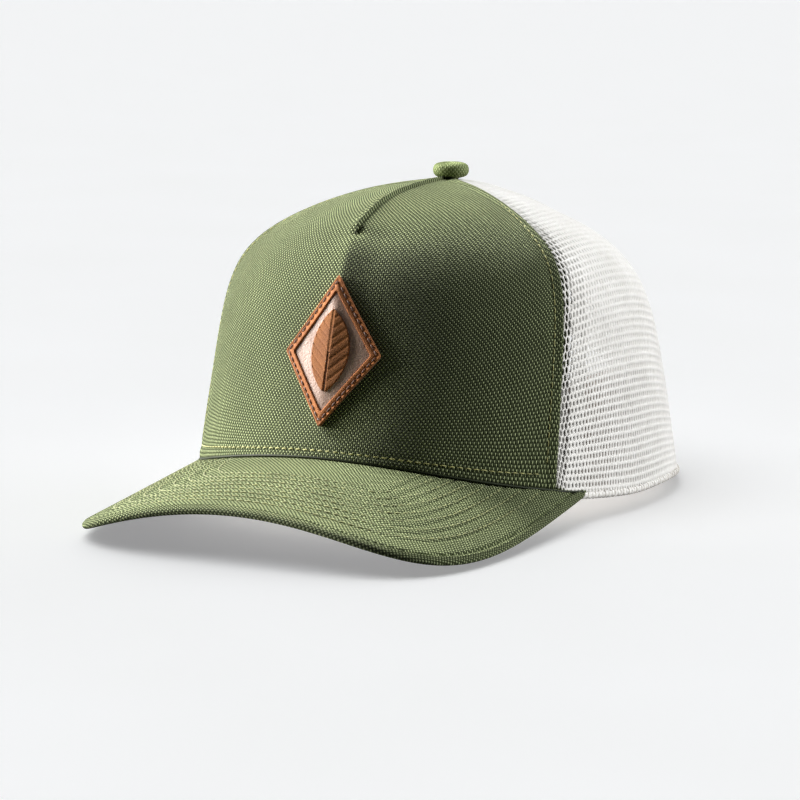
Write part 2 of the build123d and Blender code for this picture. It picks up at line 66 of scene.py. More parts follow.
# The crown's plan is two half superellipses about CROWN_Y.  Its side profile is a Bezier curve
# whose poles change round the crown by cosine terms, as shares of the radius or of the rise.
FRONT_REACH, BACK_REACH, HALF_WIDTH = 112.8, 94.8, 88.4
FRONT_ROUNDNESS, BACK_ROUNDNESS = 2.19, 2.01
CROWN_TOP, CROWN_FRONT, CROWN_BACK = 117.8, 26.3, -0.45
CROWN_Y = 41.6
FOOT_FLARE = 13.5
FOOT_HEIGHT = (0.73, 0.0, -0.23, -0.09)
SHOULDER_RADIUS = (0.88, -0.04, -0.07, -0.06)
SHOULDER_HEIGHT = (0.69, -0.05, 0.0, -0.03)
TOP_RADIUS = (0.55, 0.28, 0.16, 0.05)
BUTTON_HOLE = 3.0
# Seams in degrees from the front.
FRONT_SEAM, FRONT_SEAM_BOW, REAR_SEAM = 47.1, 6.8, 114.0
VISOR_PROJECTION, VISOR_HALF, VISOR_SQUARENESS = 63.1, 80.6, 4.63
VISOR_CORNER, VISOR_RADIUS, VISOR_SLOPE, VISOR_ROOT = 7.7, 157.6, 0.11, 56.6
VISOR_THICKNESS = 3.0
# Places between the hem (0) and the button (1).
FRONT_FOOT, NET_FOOT, SWEATBAND_FOOT, SWEATBAND_TOP = -0.011, 0.0125, 0.008, 0.135
DART_FOOT, SEAM_TOP = 0.69, 0.93
FRONT_LENGTH, HEM_DIP = 165.0, 2.4
ARCH_HALF, ARCH_RISE, ARCH_SPRING = 47.0, 44.0, 8.0


# ------------------------------------------------------------------ curves and paths


def smooth_step(x, low, high):
    """0 below low, 1 above high and an easy curve between."""
    s = np.clip((x - low) / (high - low), 0, 1)
    return s * s * (3 - 2 * s)


def bell(x, centre, width):
    """A smooth bump of height 1 about a centre."""
    return np.exp(-((x - centre) / width) ** 2)


def run_along(path):
    """Distance from the start of a path to each of its points."""
    return np.concatenate([[0], np.cumsum(np.linalg.norm(np.diff(path, axis=0), axis=1))])


def points_at(places, scale, path):
    """Points of a path at places on the scale that its own points lie on."""
    return np.stack([np.interp(places, scale, column) for column in path.T], -1)


def even_steps(path, count):
    """A number of evenly spaced points along a path."""
    length = run_along(path)
    return points_at(np.linspace(0, length[-1], count), length, path)


# ------------------------------------------------------------------ the crown surface


def cosines(terms, azimuth):
    """A value that changes round the crown, from its cosine terms."""
    return sum(term * np.cos(np.radians(order * azimuth)) for order, term in enumerate(terms))


def hem_radius(azimuth):
    """Distance of the crown's lower edge from its axis."""
    ahead = np.cos(np.radians(azimuth)) > 0
    reach = np.where(ahead, FRONT_REACH, BACK_REACH)
    power = np.where(ahead, FRONT_ROUNDNESS, BACK_ROUNDNESS)
    across = (np.abs(np.sin(np.radians(azimuth))) / HALF_WIDTH) ** power
    along = (np.abs(np.cos(np.radians(azimuth))) / reach) ** power
    return (across + along) ** (-1 / power)


def visor_height(x, y):
    """Height of the visor's top face, which is part of a sloping cylinder."""
    arch = VISOR_RADIUS - np.sqrt(np.maximum(VISOR_RADIUS**2 - x**2, 1))
    return CROWN_FRONT + VISOR_SLOPE * (y - CROWN_Y + FRONT_REACH) - arch


def hem_on_visor(azimuth):
    """Height of the crown's lower edge where it sits on the visor."""
    radius, angle = hem_radius(azimuth), np.radians(azimuth)
    return visor_height(radius * np.sin(angle), CROWN_Y - radius * np.cos(angle))


def from_front(azimuth):
    """Degrees away from the front, 0 to 180."""
    return np.abs((azimuth + 180) % 360 - 180)


def hem_height(azimuth):
    """Height of the crown's lower edge: on the visor in front, an easy curve to the back."""
    angle = from_front(azimuth)
    front = hem_on_visor(np.minimum(angle, VISOR_ROOT))
    span = 180 - VISOR_ROOT
    root = hem_on_visor(np.float64(VISOR_ROOT))
    slope = (root - hem_on_visor(np.float64(VISOR_ROOT - 0.1))) / 0.1 * span
    s = np.clip((angle - VISOR_ROOT) / span, 0, 1)
    rear = (2 * s**3 - 3 * s**2 + 1) * root + (s**3 - 2 * s**2 + s) * slope
    rear = rear + (3 * s**2 - 2 * s**3) * CROWN_BACK
    beside_panel = smooth_step(angle, FRONT_SEAM + 0.2, FRONT_SEAM + 3.2)
    dip = HEM_DIP * beside_panel * (1 - smooth_step(angle, 70, 100))
    return np.where(angle <= VISOR_ROOT, front, rear) - dip


def crown_point(azimuth, t):
    """Points on the outside of the crown: azimuth 0 is the front, t runs from hem to button."""
    azimuth, t = np.broadcast_arrays(np.asarray(azimuth, float), np.asarray(t, float))
    radius, foot = hem_radius(azimuth), hem_height(azimuth)
    rise = CROWN_TOP - foot
    poles = (
        (radius, foot),
        (radius - FOOT_FLARE, foot + cosines(FOOT_HEIGHT, azimuth) * rise),
        (cosines(SHOULDER_RADIUS, azimuth) * radius, foot + cosines(SHOULDER_HEIGHT, azimuth) * rise),
        (cosines(TOP_RADIUS, azimuth) * radius, CROWN_TOP),
        (0 * radius, CROWN_TOP),
    )
    q = 1 - t
    weights = (q**4, 4 * t * q**3, 6 * t**2 * q**2, 4 * t**3 * q, t**4)
    distance = sum(weight * pole[0] for weight, pole in zip(weights, poles))
    height = sum(weight * pole[1] for weight, pole in zip(weights, poles))
    angle = np.radians(azimuth)
    return np.stack([distance * np.sin(angle), CROWN_Y - distance * np.cos(angle), height], -1)


def unit(vectors):
    """Vectors brought to length 1."""
    return vectors / np.maximum(np.linalg.norm(vectors, axis=-1, keepdims=True), 1e-9)


def crown_normal(azimuth, t):
    """Outward directions of the crown."""
    around = crown_point(azimuth + 0.1, t) - crown_point(azimuth - 0.1, t)
    upwards = crown_point(azimuth, t + 0.002) - crown_point(azimuth, t - 0.002)
    return unit(np.cross(around, upwards))


def layer_point(azimuth, t, depth):
    """Points at a depth below the outside of the crown."""
    depth = np.asarray(depth, float)
    return crown_point(azimuth, t) - crown_normal(azimuth, t) * depth[..., None]


def under_button(azimuth):
    """The t at which cloth ends under the button."""
    return 1 - BUTTON_HOLE / (4 * cosines(TOP_RADIUS, azimuth) * hem_radius(azimuth))


def front_seam(t):
    """Azimuth of the left front seam, which bows towards the back."""
    return FRONT_SEAM + FRONT_SEAM_BOW * 4 * t * (1 - t)


def fixed(azimuth):
    """An edge straight up the crown."""
    return lambda t: azimuth + 0 * t


def beside(edge, offset):
    """An edge turned by some degrees."""
    return lambda t: edge(t) + offset


def mirrored(edge):
    """The same edge on the other side of the cap."""
    return lambda t: -edge(t)


def shifted(edge, distance):
    """An edge moved sideways by a distance along the crown."""

    def azimuth(t):
        point = crown_point(edge(t), t)
        radius = np.maximum(np.hypot(point[..., 0], point[..., 1] - CROWN_Y), 8.0)
        return edge(t) + np.degrees(distance / radius)

    return azimuth


# ------------------------------------------------------------------ mesh helpers


def link(thing):
    """Puts a new object in the scene."""
    bpy.context.scene.collection.objects.link(thing)
    return thing


def make_object(name, points, faces, body="crown", uv=None):
    """A mesh object from points in millimetres.  uv is one pair in millimetres per point."""
    mesh = bpy.data.meshes.new(name)
    mesh.from_pydata((np.asarray(points, float) * MM).tolist(), [], [list(f) for f in faces])
    mesh.validate()
    mesh.update()
    if uv is not None:
        layer = mesh.uv_layers.new(name="cloth")
        corner = np.zeros(len(mesh.loops), np.int32)
        mesh.loops.foreach_get("vertex_index", corner)
        layer.data.foreach_set("uv", np.asarray(uv, np.float32)[corner].ravel())
    mesh.polygons.foreach_set("use_smooth", np.full(len(mesh.polygons), True))
    piece = link(bpy.data.objects.new(name, mesh))
    if body:
        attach(piece, body)
    return piece


def finish_piece(piece, material, slot, *nodes):
    """Gives a piece its material and slot, and says which CAD nodes it stands for."""
    piece.data.materials.clear()
    piece.data.materials.append(material)
    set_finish(piece, slot)
    if nodes:
        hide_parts(*nodes)


def grid_faces(columns, rows, offset=0, flip=False):
    """Quads of a grid whose points are stored column by column."""
    faces = []
    for c in range(columns - 1):
        here, there = offset + c * rows, offset + (c + 1) * rows
        for r in range(rows - 1):
            quad = (here + r, there + r, there + r + 1, here + r + 1)
            faces.append(quad[::-1] if flip else quad)
    return faces


def ring_faces(rings, count, first=0, flip=False):
    """Quads between closed rings of points that follow one another."""
    faces = []
    for r in range(rings - 1):
        here, there = first + r * count, first + (r + 1) * count
        for c in range(count):
            n = (c + 1) % count
            if flip:
                faces.append((here + c, there + c, there + n, here + n))
            else:
                faces.append((here + c, here + n, there + n, there + c))
    return faces


def rim_faces(columns, rows, first, second):
    """Quads that join the borders of two grids of the same size."""
    border = [c * rows for c in range(columns)]
    border += [(columns - 1) * rows + r for r in range(1, rows)]
    border += [c * rows + rows - 1 for c in range(columns - 2, -1, -1)]
    border += [r for r in range(rows - 2, 0, -1)]
    faces = []
    for a, b in zip(border, border[1:] + border[:1]):
        faces.append((first + b, first + a, second + a, second + b))
    return faces


class Cloth:
    """Maps flat cloth coordinates (across, up) in millimetres to azimuth and t on the crown."""

    def __init__(self, start, end, low, high):
        rows, columns = 90, 81
        self.start, self.end, self.low = start, end, low
        self.across_share = np.linspace(0, 1, columns)
        top = start(np.float64(1)) + self.across_share * (end(np.float64(1)) - start(np.float64(1)))
        finish = under_button(top) if high is None else np.full(columns, float(high))
        self.finish = finish
        share = np.linspace(0, 1, rows)
        self.t = low + share[:, None] * (finish[None, :] - low)
        self.azimuth = start(self.t) + self.across_share[None, :] * (end(self.t) - start(self.t))
        points = crown_point(self.azimuth, self.t)
        steps = np.linalg.norm(np.diff(points, axis=1), axis=-1)
        arc = np.concatenate([np.zeros((rows, 1)), np.cumsum(steps, 1)], 1)
        self.across = arc - arc[:, columns // 2][:, None]
        middle = points[:, columns // 2]
        climb = np.linalg.norm(np.diff(middle, axis=0), axis=-1)
        self.up = np.concatenate([[0], np.cumsum(climb)])
        self.share = share

    def place(self, across, up):
        """Azimuth and t of cloth points; points past a seam are drawn in to the seam."""
        row = np.interp(up, self.up, np.arange(len(self.up)))
        low = np.clip(np.floor(row).astype(int), 0, len(self.up) - 2)
        part = row - low
        azimuth, t = np.zeros_like(across), np.zeros_like(across)
        for k in np.unique(low):
            chosen = low == k
            s, f = across[chosen], part[chosen]
            first = np.interp(s, self.across[k], self.across_share)
            second = np.interp(s, self.across[k + 1], self.across_share)
            share = first + (second - first) * f
            finish = np.interp(share, self.across_share, self.finish)
            level = self.share[k] + (self.share[k + 1] - self.share[k]) * f
            tt = self.low + level * (finish - self.low)
            azimuth[chosen] = self.start(tt) + share * (self.end(tt) - self.start(tt))
            t[chosen] = tt
        return azimuth, t

    def limits(self, up):
        """Where the cloth starts and ends across at a height."""
        row = np.interp(up, self.up, np.arange(len(self.up)))
        k = np.clip(np.round(row).astype(int), 0, len(self.up) - 1)
        return self.across[k, 0], self.across[k, -1]


def crown_sheet(name, start, end, low, high, depth, thickness, columns, rows, relief=None,
                edge=0.25, focus=0.0):
    """Closed sheet of cloth on the crown with softened edges.

    relief(across, up, azimuth, t) gives how far the cloth stands out, in millimetres.
    focus above 0 draws the columns together in the middle.
    """
    cloth = Cloth(start, end, low, high)
    u = np.linspace(0, 1, columns)
    v = np.linspace(0, 1, rows)
    u = u + focus * (0.5 - np.abs(u - 0.5)) * np.sin(2 * np.pi * u)
    u = np.unique(np.concatenate([[0, 0.004], u[1:-1], [0.996, 1]]))
    v = np.unique(np.concatenate([[0, 0.006], v[1:-1], [0.994, 1]]))
    columns, rows = len(u), len(v)
    uu, vv = np.meshgrid(u, v, indexing="ij")
    finish = np.interp(uu, cloth.across_share, cloth.finish)
    t = low + vv * (finish - low)
    azimuth = start(t) + uu * (end(t) - start(t))
    up = np.interp(vv, cloth.share, cloth.up)
    across = np.zeros_like(up)
    for r in range(rows):
        row = v[r] * (len(cloth.share) - 1)
        k = min(int(row), len(cloth.share) - 2)
        first = np.interp(u, cloth.across_share, cloth.across[k])
        second = np.interp(u, cloth.across_share, cloth.across[k + 1])
        across[:, r] = first + (second - first) * (row - k)
    depth = depth(azimuth) if callable(depth) else np.full_like(t, float(depth))
    lift = relief(across, up, azimuth, t) if relief else 0 * t
    border = np.zeros_like(t)
    border[0], border[-1], border[:, 0], border[:, -1] = edge, edge, edge, edge
    outer = layer_point(azimuth, t, depth - lift + border)
    inner = layer_point(azimuth, t, depth - lift + thickness - border)
    count = columns * rows
    points = np.concatenate([outer.reshape(-1, 3), inner.reshape(-1, 3)])
    faces = grid_faces(columns, rows) + grid_faces(columns, rows, count, flip=True)
    faces += rim_faces(columns, rows, 0, count)
    uv = np.stack([across, up], -1).reshape(-1, 2)
    return make_object(name, points, faces, uv=np.concatenate([uv, uv]))


def sweep(name, path, side, lift, profile, uv_scale=1.0):
    """Sweeps a closed profile (offsets along side and lift) along a path of points."""
    rings = len(path)
    ring = np.array(profile, float)
    if ring.ndim == 2:
        ring = np.repeat(ring[None], rings, 0)
    count = ring.shape[1]
    points = path[:, None] + side[:, None] * ring[..., 0:1] + lift[:, None] * ring[..., 1:2]
    faces = ring_faces(rings, count)
    faces.append(tuple(range(count))[::-1])
    faces.append(tuple((rings - 1) * count + c for c in range(count)))
    turn = np.arange(count) / count
    uv = np.stack(np.broadcast_arrays(turn[None] * uv_scale, run_along(path)[:, None]), -1)
    return make_object(name, points.reshape(-1, 3), faces, uv=uv.reshape(-1, 2))


def resample(path, step, extra=()):
    """Evenly spaced points along a dense path, with other arrays carried along."""
    length = run_along(path)
    count = max(int(round(length[-1] / step)), 2)
    places = np.linspace(0, length[-1], count + 1)
    return [points_at(places, length, array) for array in (path, *extra)]


# Length, gap and radius of each kind of stitch, in millimetres.
FRONT_STITCH, STRAP_STITCH = (2.3, 0.7, 0.24), (2.3, 0.6, 0.24)
VISOR_STITCH, UNDER_STITCH = (2.5, 0.7, 0.27), (2.5, 0.75, 0.25)
TAPE_STITCH, BINDING_STITCH = (2.6, 0.6, 0.2), (2.2, 0.5, 0.2)
BAND_STITCH, PATCH_STITCH = (2.6, 0.7, 0.24), (2.1, 0.55, 0.26)
STITCH_SIDES, STITCH_RINGS, STITCH_STEPS, STITCH_WOBBLE = 6, 7, 8, 0.12


def stitches(name, rows, length, gap, radius):
    """Separate sewing stitches along rows; each row is (points, outward normals)."""
    points, faces = [], []
    shape = np.linspace(0, 1, STITCH_RINGS)
    arch = np.sin(np.pi * shape) ** 0.6
    size = radius * (0.55 + 0.45 * arch)
    angle = np.arange(STITCH_SIDES) / STITCH_SIDES * 2 * np.pi
    for path, normal in rows:
        path, normal = resample(path, (length + gap) / STITCH_STEPS, (normal,))
        steps = np.arange(len(path))
        for first in range(0, len(path) - STITCH_STEPS, STITCH_STEPS):
            spot = first + shape * STITCH_STEPS * length / (length + gap)
            centre = points_at(spot, steps, path)
            up = unit(points_at(spot, steps, normal))
            side = unit(np.cross(unit(np.gradient(centre, axis=0)), up))
            shift = rng.normal(0, STITCH_WOBBLE * radius)
            turn = rng.normal(0, STITCH_WOBBLE)
            centre = centre + side * (shift + turn * (shape[:, None] - 0.5) * radius * 2)
            centre = centre + up * (arch[:, None] * radius * 1.25 - radius * 0.75)
            base = len(points) * STITCH_SIDES
            for k in range(STITCH_RINGS):
                ring = side[k] * np.cos(angle)[:, None] + up[k] * np.sin(angle)[:, None] * 0.85
                points.append(centre[k] + ring * size[k])
            last = base + (STITCH_RINGS - 1) * STITCH_SIDES
            faces += ring_faces(STITCH_RINGS, STITCH_SIDES, base, flip=True)
            faces.append(tuple(range(base, base + STITCH_SIDES)))
            faces.append(tuple(range(last, last + STITCH_SIDES))[::-1])
    return make_object(name, np.concatenate(points), faces)


# ------------------------------------------------------------------ materials


class Shader:
    """A node material with a few short ways to make and join nodes."""

    def __init__(self, name, roughness=0.8, **sockets):
        self.material = bpy.data.materials.new(name)
        self.material.use_nodes = True
        self.tree = self.material.node_tree
        self.surface = self.tree.nodes["Principled BSDF"]
        self.surface.inputs["Roughness"].default_value = roughness
        for socket, value in sockets.items():
            self.surface.inputs[socket.replace("_", " ")].default_value = value

    def node(self, kind, *links, **values):
        node = self.tree.nodes.new("ShaderNode" + kind)
        for key, value in values.items():
            setattr(node, key, value)
        for index, link in enumerate(links):
            self.feed(node.inputs[index], link)
        return node

    def feed(self, socket, value):
        if isinstance(value, bpy.types.NodeSocket):
            self.tree.links.new(value, socket)
        elif value is not None:
            socket.default_value = value

    def math(self, operation, a, b=None, c=None):
        return self.node("Math", a, b, c, operation=operation).outputs[0]

    def cloth_axes(self):
        split = self.node("SeparateXYZ", self.node("UVMap", uv_map="cloth").outputs[0])
        return split.outputs[0], split.outputs[1]

    def place(self):
        return self.node("TexCoord").outputs["Object"]

    def noise(self, scale, detail=3.0, vector=None, roughness=0.6):
        noise = self.node("TexNoise")
        self.feed(noise.inputs["Vector"], vector or self.place())
        noise.inputs["Scale"].default_value = scale
        noise.inputs["Detail"].default_value = detail
        noise.inputs["Roughness"].default_value = roughness
        return noise.outputs[0]

    def stretched(self, across, along):
        """Place on the object, drawn out by different amounts along its axes."""
        mapping = self.node("Mapping", self.place())
        mapping.inputs["Scale"].default_value = (across, across, along)
        return mapping.outputs[0]

    def ramp(self, value, *stops):
        """Colours along a value from 0 to 1; each stop is (place, colour)."""
        ramp = self.node("ValToRGB", value)
        points = ramp.color_ramp.elements
        while len(points) < len(stops):
            points.new(0.5)
        for point, (place, colour) in zip(points, stops):
            point.position = place
            point.color = (*colour, 1)
        return ramp.outputs[0]

    def blend(self, factor, first, second):
        mix = self.node("Mix", data_type="RGBA")
        self.feed(mix.inputs[0], factor)
        for socket, value in ((mix.inputs[6], first), (mix.inputs[7], second)):
            self.feed(socket, (*value, 1) if isinstance(value, tuple) else value)
        return mix.outputs[2]

    def colour(self, value):
        self.feed(self.surface.inputs["Base Color"], value)

    def rough(self, value, low, high):
        span = self.node("MapRange", value)
        span.inputs["To Min"].default_value = low
        span.inputs["To Max"].default_value = high
        self.feed(self.surface.inputs["Roughness"], span.outputs[0])

    def bump(self, height, distance):
        """Bump whose distance is in millimetres."""
        bump = self.node("Bump")
        bump.inputs["Strength"].default_value = 1.0
        bump.inputs["Distance"].default_value = distance * MM
        self.feed(bump.inputs["Height"], height)
        self.feed(self.surface.inputs["Normal"], bump.outputs[0])


def srgb(red, green, blue):
    """A colour from 0 to 255 as the linear values that shaders take."""
    channels = (red / 255, green / 255, blue / 255)
    return tuple(c / 12.92 if c < 0.04045 else ((c + 0.055) / 1.055) ** 2.4 for c in channels)


WARP_PITCH, WEFT_PITCH = 0.77, 0.84


def plain_weave(name, light, dark, back, depth=0.3, soften=0.0):
    """Plain weave on cloth coordinates in millimetres: light raised yarn dots over a dark colour that
    is partly the weft's own tone and partly painted shade in the hollows between the yarns.
    """
    s = Shader(name, 0.75, Sheen_Weight=0.06, Sheen_Roughness=0.4, Specular_IOR_Level=0.2)
    s.surface.inputs["Sheen Tint"].default_value = (*light, 1)
    across, up = s.cloth_axes()
    drift = s.math("MULTIPLY", s.math("SUBTRACT", s.noise(220.0, 2.0), 0.5), 0.55)
    warp = s.math("MULTIPLY", s.math("ADD", across, drift), math.pi / WARP_PITCH)
    weft = s.math("MULTIPLY", s.math("ADD", up, drift), math.pi / WEFT_PITCH)
    cell = s.math("MULTIPLY", s.math("COSINE", warp), s.math("COSINE", weft))
    over = s.node("MapRange", cell, interpolation_type="SMOOTHSTEP")
    over.inputs["From Min"].default_value = -0.06 - soften
    over.inputs["From Max"].default_value = 0.6 + soften
    shade = s.noise(45.0, 4.0)
    yarn = s.noise(900.0, 2.0)
    pale = s.ramp(shade, (0.3, tuple(c * 0.8 for c in light)), (0.7, tuple(c * 1.12 for c in light)))
    # The dark colour between the dots is partly yarn tone and partly painted shade of the weave's
    # hollows.
    body = s.blend(over.outputs[0], dark, pale)
    s.colour(s.blend(s.math("MULTIPLY", yarn, 0.14), body, back))
    height = s.math("ADD", s.math("ABSOLUTE", cell), s.math("MULTIPLY", over.outputs[0], 0.35))
    s.bump(s.math("ADD", height, s.math("MULTIPLY", yarn, 0.3)), depth)
    s.rough(yarn, 0.65, 0.9)
    return s.material


def thread_material(name, light, dark, sheen=0.3):
    """Sewing thread with fine fibres and a slow drift of tone."""
    s = Shader(name, 0.6, Sheen_Weight=sheen, Specular_IOR_Level=0.2 + sheen)
    fibre = s.noise(2600.0, 3.0)
    tone = s.noise(120.0, 2.0)
    s.colour(s.ramp(s.math("MULTIPLY_ADD", fibre, 0.5, s.math("MULTIPLY", tone, 0.5)),
                    (0.3, dark), (0.65, light)))
    s.bump(fibre, 0.06)
    s.rough(fibre, 0.45, 0.75)
    return s.material


def net_material():
    """White polyester tricot: glossy twisted yarn with faint shading."""
    s = Shader("white_net", 0.5, Sheen_Weight=0.2)
    along = s.noise(1500.0, 2.0, s.stretched(1.0, 0.25))
    tone = s.noise(60.0, 3.0)
    s.colour(s.ramp(s.math("MULTIPLY_ADD", along, 0.6, s.math("MULTIPLY", tone, 0.4)),
                    (0.25, srgb(218, 217, 214)), (0.7, srgb(244, 244, 243))))
    s.bump(along, 0.09)
    s.rough(along, 0.4, 0.7)
    return s.material


def tape_material(name, light, dark, pitch=1.1):
    """Narrow woven tape with a herringbone rib."""
    s = Shader(name, 0.8, Sheen_Weight=0.3)
    across, up = s.cloth_axes()
    bend = s.math("PINGPONG", across, 2.2)
    rib = s.math("SINE", s.math("MULTIPLY", s.math("ADD", up, bend), 2 * math.pi / pitch))
    yarn = s.noise(1400.0, 2.0)
    s.colour(s.ramp(s.math("MULTIPLY_ADD", rib, 0.25, s.math("MULTIPLY_ADD", yarn, 0.4, 0.3)),
                    (0.2, dark), (0.75, light)))
    s.bump(s.math("MULTIPLY_ADD", rib, 0.4, yarn), 0.12)
    return s.material


def towel_material():
    """Brushed cotton of the sweatband, grey-brown with flecks."""
    s = Shader("brushed_cotton", 0.92, Sheen_Weight=0.4, Sheen_Roughness=0.6)
    across, up = s.cloth_axes()
    wale = s.math("SINE", s.math("MULTIPLY", across, 2 * math.pi / 1.3))
    course = s.math("SINE", s.math("MULTIPLY", up, 2 * math.pi / 1.1))
    loop = s.math("MULTIPLY", wale, course)
    fluff = s.noise(1100.0, 4.0)
    s.colour(s.ramp(s.math("MULTIPLY_ADD", loop, 0.12, fluff),
                    (0.3, srgb(168, 152, 143)), (0.7, srgb(216, 200, 191))))
    s.bump(s.math("MULTIPLY_ADD", loop, 0.5, fluff), 0.25)
    return s.material


def foam_material():
    """Open-cell foam backing with a thin knit skin."""
    s = Shader("foam_backing", 0.95, Sheen_Weight=0.2)
    cells = s.node("TexVoronoi", s.place(), feature="F1")
    cells.inputs["Scale"].default_value = 900.0
    tone = s.noise(30.0, 3.0)
    mixed = s.math("MULTIPLY_ADD", cells.outputs["Distance"], 0.5, s.math("MULTIPLY", tone, 0.5))
    s.colour(s.ramp(mixed, (0.2, srgb(188, 188, 184)), (0.7, srgb(232, 232, 228))))
    s.bump(cells.outputs["Distance"], 0.35)
    return s.material


def leather_material(name, light, dark, grain, nap, roughness, streak=0.0):
    """Leather: grain cells, broad tone drift and, for suede, a fine nap."""
    s = Shader(name, roughness, Sheen_Weight=nap, Sheen_Roughness=0.5)
    pores = s.node("TexVoronoi", s.place(), feature="DISTANCE_TO_EDGE")
    pores.inputs["Scale"].default_value = grain
    fluff = s.noise(grain * 1.6, 4.0, roughness=0.75)
    cloud = s.noise(90.0, 5.0, s.stretched(1.0, 0.35) if streak else None, 0.65)
    mixed = s.math("MULTIPLY_ADD", fluff, 0.45, s.math("MULTIPLY", cloud, 0.55))
    s.colour(s.ramp(mixed, (0.32, dark), (0.68, light)))
    s.bump(s.math("MULTIPLY_ADD", pores.outputs["Distance"], 0.8, fluff), 0.14)
    s.rough(fluff, roughness - 0.12, min(roughness + 0.12, 1.0))
    return s.material


def plastic_material():
    """Moulded white plastic with a fine matt grain."""
    s = Shader("moulded_white_plastic", 0.38, Coat_Weight=0.15)
    grain = s.noise(1800.0, 3.0)
    tone = s.noise(35.0, 2.0)
    s.colour(s.ramp(tone, (0.3, srgb(224, 224, 220)), (0.7, srgb(240, 240, 237))))
    s.bump(grain, 0.02)
    s.rough(grain, 0.3, 0.5)
    return s.material


def board_material():
    """Stiff moulded board."""
    s = Shader("visor_board_plastic", 0.55)
    grain = s.noise(700.0, 4.0)
    s.colour(s.ramp(grain, (0.3, srgb(214, 214, 210)), (0.7, srgb(233, 233, 229))))
    s.bump(grain, 0.05)
    return s.material


def metal_material():
    """Plated steel, faintly brushed."""
    s = Shader("plated_steel", 0.3, Metallic=1.0)
    brushed = s.noise(1500.0, 3.0)
    s.colour(s.ramp(brushed, (0.3, srgb(150, 150, 148)), (0.7, srgb(196, 195, 192))))
    s.bump(brushed, 0.01)
    s.rough(brushed, 0.22, 0.42)
    return s.material


def floor_material():
    """Matt studio floor that glows a little, like a lit backdrop."""
    s = Shader("pale_floor", 0.75, Emission_Strength=0.27)
    s.surface.inputs["Emission Color"].default_value = (0.97, 0.98, 1.0, 1)
    tone = s.noise(6.0, 2.0)
    s.colour(s.ramp(tone, (0.3, srgb(238, 238, 236)), (0.7, srgb(242, 242, 241))))
    return s.material


# The dark green between the yarn dots is partly the weft's tone and partly painted shade of the gaps
# in the weave.
GREEN_LIGHT, GREEN_GAP_TONE_AND_SHADE, GREEN_YARN = srgb(200, 212, 156), srgb(58, 70, 32), srgb(112, 122, 78)
canvas = plain_weave("green_canvas", GREEN_LIGHT, GREEN_GAP_TONE_AND_SHADE, GREEN_YARN, 1.0)
visor_canvas = plain_weave("green_visor_canvas", GREEN_LIGHT, GREEN_GAP_TONE_AND_SHADE, GREEN_YARN, 0.7)
button_canvas = plain_weave("green_button_canvas", srgb(188, 201, 146), srgb(112, 126, 74),
                            GREEN_YARN, 0.2, 0.2)
under_cloth = plain_weave("pale_under_cloth", srgb(214, 206, 204), srgb(172, 164, 163),
                          srgb(196, 188, 187), 0.15, 0.3)
olive_thread = thread_material("olive_thread", srgb(162, 166, 98), srgb(82, 90, 42))
seam_thread = thread_material("seam_thread", srgb(206, 202, 124), srgb(128, 130, 66))
# Nearly black olive for the cord at the visor's root: the turned edge's tone darkened as painted
# shadow of the join.
shadow_line_thread = thread_material("olive_painted_shadow_thread", srgb(44, 52, 24), srgb(18, 23, 9), 0.0)
pale_thread = thread_material("pale_thread", srgb(226, 222, 216), srgb(176, 172, 166))
brown_thread = thread_material("brown_thread", srgb(104, 58, 34), srgb(58, 30, 18))
white_net = net_material()
white_tape = tape_material("white_tape", srgb(238, 237, 233), srgb(196, 195, 190))
# Darker copy of the white tape for the front seams: painted shade where the tape lies behind the net
# and the green turned edge.
white_tape_painted_shade = tape_material("white_tape_painted_shade", srgb(168, 167, 164), srgb(118, 117, 115))
binding_tape = tape_material("binding_tape", srgb(238, 238, 236), srgb(190, 190, 186), 0.9)
label_cloth = tape_material("blank_label", srgb(236, 236, 236), srgb(208, 208, 208), 0.7)
towel = towel_material()
foam = foam_material()
suede = leather_material("tan_suede", srgb(212, 132, 68), srgb(136, 76, 34), 1500.0, 0.1, 0.85)
emblem_suede = leather_material("emblem_suede", srgb(174, 108, 46), srgb(116, 64, 24), 1700.0, 0.1,
                                0.88)
smooth_leather = leather_material("pale_leather", srgb(200, 172, 156), srgb(146, 108, 90), 700.0,
                                  0.1, 0.45, 1.0)
leather_back = leather_material("leather_back", srgb(150, 96, 60), srgb(108, 66, 40), 900.0, 0.2, 0.8)
plastic = plastic_material()
board = board_material()
metal = metal_material()


# ------------------------------------------------------------------ places on the crown


def on_crown(x, z, depth, azimuth):
    """Azimuth and t of the points of a crown layer at given x and z, by Newton's method."""
    x, z, depth = np.broadcast_arrays(np.asarray(x, float), np.asarray(z, float), depth)
    a = np.full(x.shape, float(azimuth))
    t = np.full(x.shape, 0.1)
    for _ in range(12):
        here = layer_point(a, t, depth)
        turn = (layer_point(a + 0.5, t, depth) - here) / 0.5
        climb = (layer_point(a, t + 0.004, depth) - here) / 0.004
        dx, dz = x - here[..., 0], z - here[..., 2]
        det = turn[..., 0] * climb[..., 2] - climb[..., 0] * turn[..., 2]
        a = a + np.clip((dx * climb[..., 2] - dz * climb[..., 0]) / det, -15, 15)
        t = t + np.clip((dz * turn[..., 0] - dx * turn[..., 2]) / det, -0.15, 0.15)
        t = np.clip(t, -0.15, 0.9)
    return a, t


def crease(across, t):
    """How far the soft fold down the middle of the front stands out."""
    fade = smooth_step(t, -0.02, 0.33) * (1 - smooth_step(t, 0.60, 0.78))
    return 3.2 * np.exp(-np.sqrt(across**2 + 1.2) / 10.0) * fade


def front_mapper(x, z, depth):
    """Points on the front panel at x and z, with its fold."""
    a, t = on_crown(x, z, 0.0, 0)
    across = np.asarray(x, float)
    return layer_point(a, t, np.asarray(depth) - crease(across, t))


